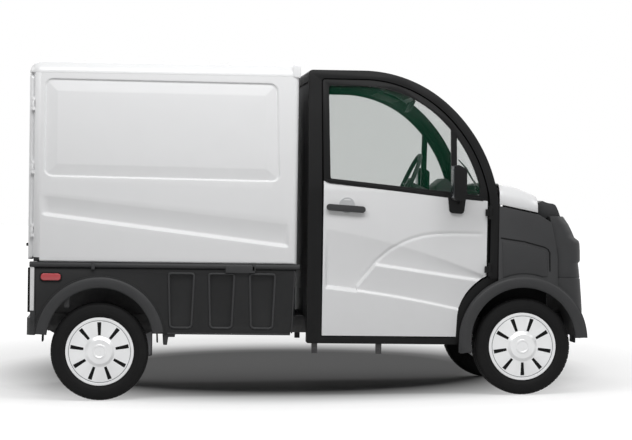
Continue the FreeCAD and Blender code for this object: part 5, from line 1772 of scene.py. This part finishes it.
@dataclass
class BoxTrim:
    """Small parts on and under the load box.

    Attributes:
        half: Half width of the box.
        bar: Distance of a latch bar from the middle.
        clips: Places of the rail's clips.
        pegs: Places of the sill's pegs.
        latches: Heights of a latch bar's keepers.
    """

    half: float = 712.0
    bar: float = 40.0
    clips: tuple[float, ...] = (-1140.0, -290.0)
    pegs: tuple[float, ...] = (26.0, 370.0)
    latches: tuple[float, ...] = (800.0, 1000.0, 1420.0, 1620.0)

    def build(self) -> None:
        """Makes the parts of both sides."""
        for side, tag in SIDES:
            self.rail(side, tag)
            self.corners(side, tag)
            self.under(side, tag)
            self.load_door(side, tag)

    def corners(self, side: int, tag: str) -> None:
        """Bracket at the upper front corner, strip at the rear one and stay in the rear arch.

        Args:
            side: -1 for the right, 1 for the left.
            tag: Word for the side in the names of pieces.
        """
        outline = [(-96, 1706), (-58, 1700), (-54, 1712), (-54, 1766), (-96, 1772)]
        corner = Shape().prism(outline, *band(side, self.half - 16, self.half + 4))
        dress(corner.mesh(f"corner_bracket_{tag}", bevel=4, segments=3), WHITE)
        strip = Shape().brick(side, (-1470, -1448), (696, 702), (452, 700))
        dress(strip.mesh(f"rear_corner_strip_{tag}", bevel=2), ZINC)
        stay = Shape().prism([(-1292, 585), (-1258, 585), (-1262, 470), (-1290, 470)], *band(side, 691, 698))
        dress(stay.mesh(f"arch_stay_{tag}", bevel=2), PLASTIC)

    def under(self, side: int, tag: str) -> None:
        """Bracket ahead of the rear wheel and the pegs under the sill.

        Args:
            side: -1 for the right, 1 for the left.
            tag: Word for the side in the names of pieces.
        """
        outline = [(-768, 340), (-700, 340), (-704, 318), (-738, 318), (-744, 276), (-764, 276)]
        flap = Shape().prism(outline, *band(side, 560, 690))
        dress(flap.mesh(f"flap_bracket_{tag}", bevel=3), PLASTIC)
        pegs = Shape()
        for x in self.pegs:
            pegs.brick(side, (x, x + 30), (640, 676), (238, 296))
            pegs.tube([(x + 15, side * 658, 262), (x + 15, side * 680, 262)], 8)
        dress(pegs.mesh(f"sill_pegs_{tag}", bevel=2), STEEL)

    def load_door(self, side: int, tag: str) -> None:
        """Latch bar with its handle and keepers, and the stop of a load door.

        Args:
            side: -1 for the right, 1 for the left.
            tag: Word for the side in the names of pieces.
        """
        y = side * self.bar
        bar = Shape().tube([(-1489, y, 760), (-1489, y, 1660)], 5.5, 12)
        bar.block((-1494, y - 14, 1180), (-1484, y + 14, 1260))
        for z in self.latches:
            bar.block((-1494, y - 12, z), (-1484, y + 12, z + 24))
        dress(bar.mesh(f"latch_bar_{tag}", bevel=1), ZINC, f"rear_door_{tag}")
        stop = Shape().tube([(-1484, side * 640, 800), (-1494, side * 640, 800)], [9, 8], 16)
        dress(stop.mesh(f"door_stop_{tag}", bevel=1), FRAME_BLACK, f"rear_door_{tag}")

    def rail(self, side: int, tag: str) -> None:
        """Clips and bracket on the rub rail.

        Args:
            side: -1 for the right, 1 for the left.
            tag: Word for the side in the names of pieces.
        """
        out = (self.half - 30, self.half + 5)
        clips = Shape()
        for x in self.clips:
            clips.brick(side, (x - 9, x + 9), out, (672, 712))
        clips.brick(side, (-440, -284), out, (662, 700))
        dress(clips.mesh(f"rail_clips_{tag}", bevel=3), PLASTIC)


@dataclass
class ScreenTrim:
    """Wiper of the windscreen.

    Attributes:
        rods: Points, radii and faces of the pivot, the arm and the blade.
    """

    rods: tuple[tuple[tuple[Point, ...], tuple[float, ...], int], ...] = (
        (((1010, 60, 1118), (1020, 64, 1132)), (14, 12), 16),
        (((1022, 62, 1130), (1004, 200, 1180), (985, 330, 1238)), (6, 5, 4), 8),
        (((1012, 90, 1140), (985, 330, 1246), (960, 480, 1296)), (4, 5, 3), 8))

    def build(self) -> None:
        """Makes the pivot, the arm and the blade."""
        wiper = Shape()
        for path, radii, sides in self.rods:
            wiper.tube(path, radii, sides)
        dress(wiper.mesh("wiper"), FRAME_BLACK)


@dataclass
class Studio:
    """Camera, floor and soft light.

    Attributes:
        eye: Place of the camera.
        yaw: Its turn to the right, in degrees.
        pitch: Its tilt up.
        roll: Its roll.
        pixels: Its focal length, in pixels of the photograph.
        width: Width of the photograph, in pixels.
        sensor: Width of the camera's sensor, in millimetres.
        sky: Strength of the world's light on the object.
        painted_shadow_patch: Middle of the shadow painted dark on the floor, and how far it reaches along and
            across.
        lamps: Name, place, aim, size and power of each lamp.
    """

    eye: tuple[float, float, float] = (-0.9513, -13.4509, 1.1261)
    yaw: float = 4.4536
    pitch: float = -0.798
    roll: float = -0.4037
    pixels: float = 2404.9
    width: float = 632.0
    sensor: float = 36.0
    sky: float = 0.3
    painted_shadow_patch: tuple[float, float, float] = (1.45, 1.62, 2.15)
    lamps: tuple[tuple[str, tuple, tuple, tuple, float], ...] = (
        ("side", (-0.1, -2.7, 3.5), (-0.1, -0.6, 1.5), (4.8, 1.2), 98.0),
        ("nose", (4.6, -0.6, 3.0), (1.2, 0.0, 0.9), (2.4, 1.2), 34.0),
        ("far", (-0.1, 2.9, 3.3), (0.0, 0.6, 1.4), (4.8, 1.2), 48.0),
        ("tail", (-4.6, 0.6, 3.0), (-1.4, 0.0, 1.0), (2.4, 1.2), 30.0))

    def build(self) -> None:
        """Makes the stage."""
        self.camera()
        self.floor()
        self.light()

    def camera(self) -> None:
        """Sets the camera to the photograph's view."""
        yaw, pitch, roll = (math.radians(a) for a in (self.yaw, self.pitch, self.roll))
        ahead = Vector((math.sin(yaw) * math.cos(pitch), math.cos(yaw) * math.cos(pitch), math.sin(pitch)))
        right = Vector((math.cos(yaw), -math.sin(yaw), 0))
        up = right.cross(ahead)
        right, up = right * math.cos(roll) + up * math.sin(roll), up * math.cos(roll) - right * math.sin(roll)
        data = bpy.data.cameras.new("camera")
        data.sensor_width = self.sensor
        data.sensor_fit = "HORIZONTAL"
        data.lens = self.pixels / self.width * self.sensor
        camera = put("camera", data)
        turn = Matrix((right, up, -ahead)).transposed().to_4x4()
        camera.matrix_world = Matrix.Translation(self.eye) @ turn
        bpy.context.scene.camera = camera

    def floor(self) -> None:
        """A wide pale floor that keeps the shadow, has a shadow painted dark near the van, and grows white
        away from it.
        """
        bm = bmesh.new()
        bmesh.ops.create_grid(bm, x_segments=1, y_segments=1, size=60.0)
        data = bpy.data.meshes.new("floor")
        bm.to_mesh(data)
        bm.free()
        floor = put("floor", data)
        floor.location.z = -0.0005
        shader = Shader("pale_floor_painted_shadow")
        middle, long, wide = self.painted_shadow_patch
        across = (shader.along("Y") - middle) * (1 / wide)
        away = ((shader.along("X") * (1 / long)).power(2.0) + across.power(2.0)).power(0.5)
        # Painted shadow: the floor's colour is darker within the patch under and behind the van.
        tone = shader.blend(away.clamp(0.68, 1.12), (0.1, 0.1, 0.1), (0.5, 0.5, 0.5))
        shader.set(Roughness=0.9, Specular_IOR_Level=0.1, Base_Color=tone, Emission_Color=(1, 1, 1, 1))
        # Painted shadow: the glow that the camera sees fades out within the patch, so the floor stays dark
        # there.
        white = away.clamp(0.78, 1.2) * 0.5 + away.clamp(1.2, 2.4) * 0.5
        shader.set(Emission_Strength=shader.background_rays() * white)
        data.materials.append(shader.material)

    def light(self) -> None:
        """Large soft lamps and an even world that looks white to the camera."""
        for name, spot, aim, size, power in self.lamps:
            data = bpy.data.lights.new(name, "AREA")
            data.shape = "RECTANGLE"
            data.size, data.size_y = size
            data.energy = power
            lamp = put(name, data)
            lamp.location = spot
            lamp.rotation_euler = (Vector(aim) - Vector(spot)).to_track_quat("-Z", "Y").to_euler()
        world = bpy.data.worlds.new("studio")
        bpy.context.scene.world = world
        world.use_nodes = True
        graph = Graph(world.node_tree)
        back = graph.tree.nodes["Background"].inputs
        graph.feed(back["Color"], (1, 1, 1, 1))
        graph.feed(back["Strength"], graph.background_rays() * (1.0 - self.sky) + self.sky)
        bpy.context.scene.view_settings.view_transform = "Standard"


def main() -> None:
    """Builds the studio and every sub-assembly."""
    logging.basicConfig(level=logging.INFO, format="%(message)s")
    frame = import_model()
    Studio().build()
    Panels(frame).build()
    parts = (
        BoxSide, DoorSkin, ArchTrim, Nose, Seals, WheelTrim, TyreSet, Cabin, DoorTrim, LampSet, BoxTrim,
        ScreenTrim)
    for part in parts:
        part().build()


if __name__ == "__main__":
    main()
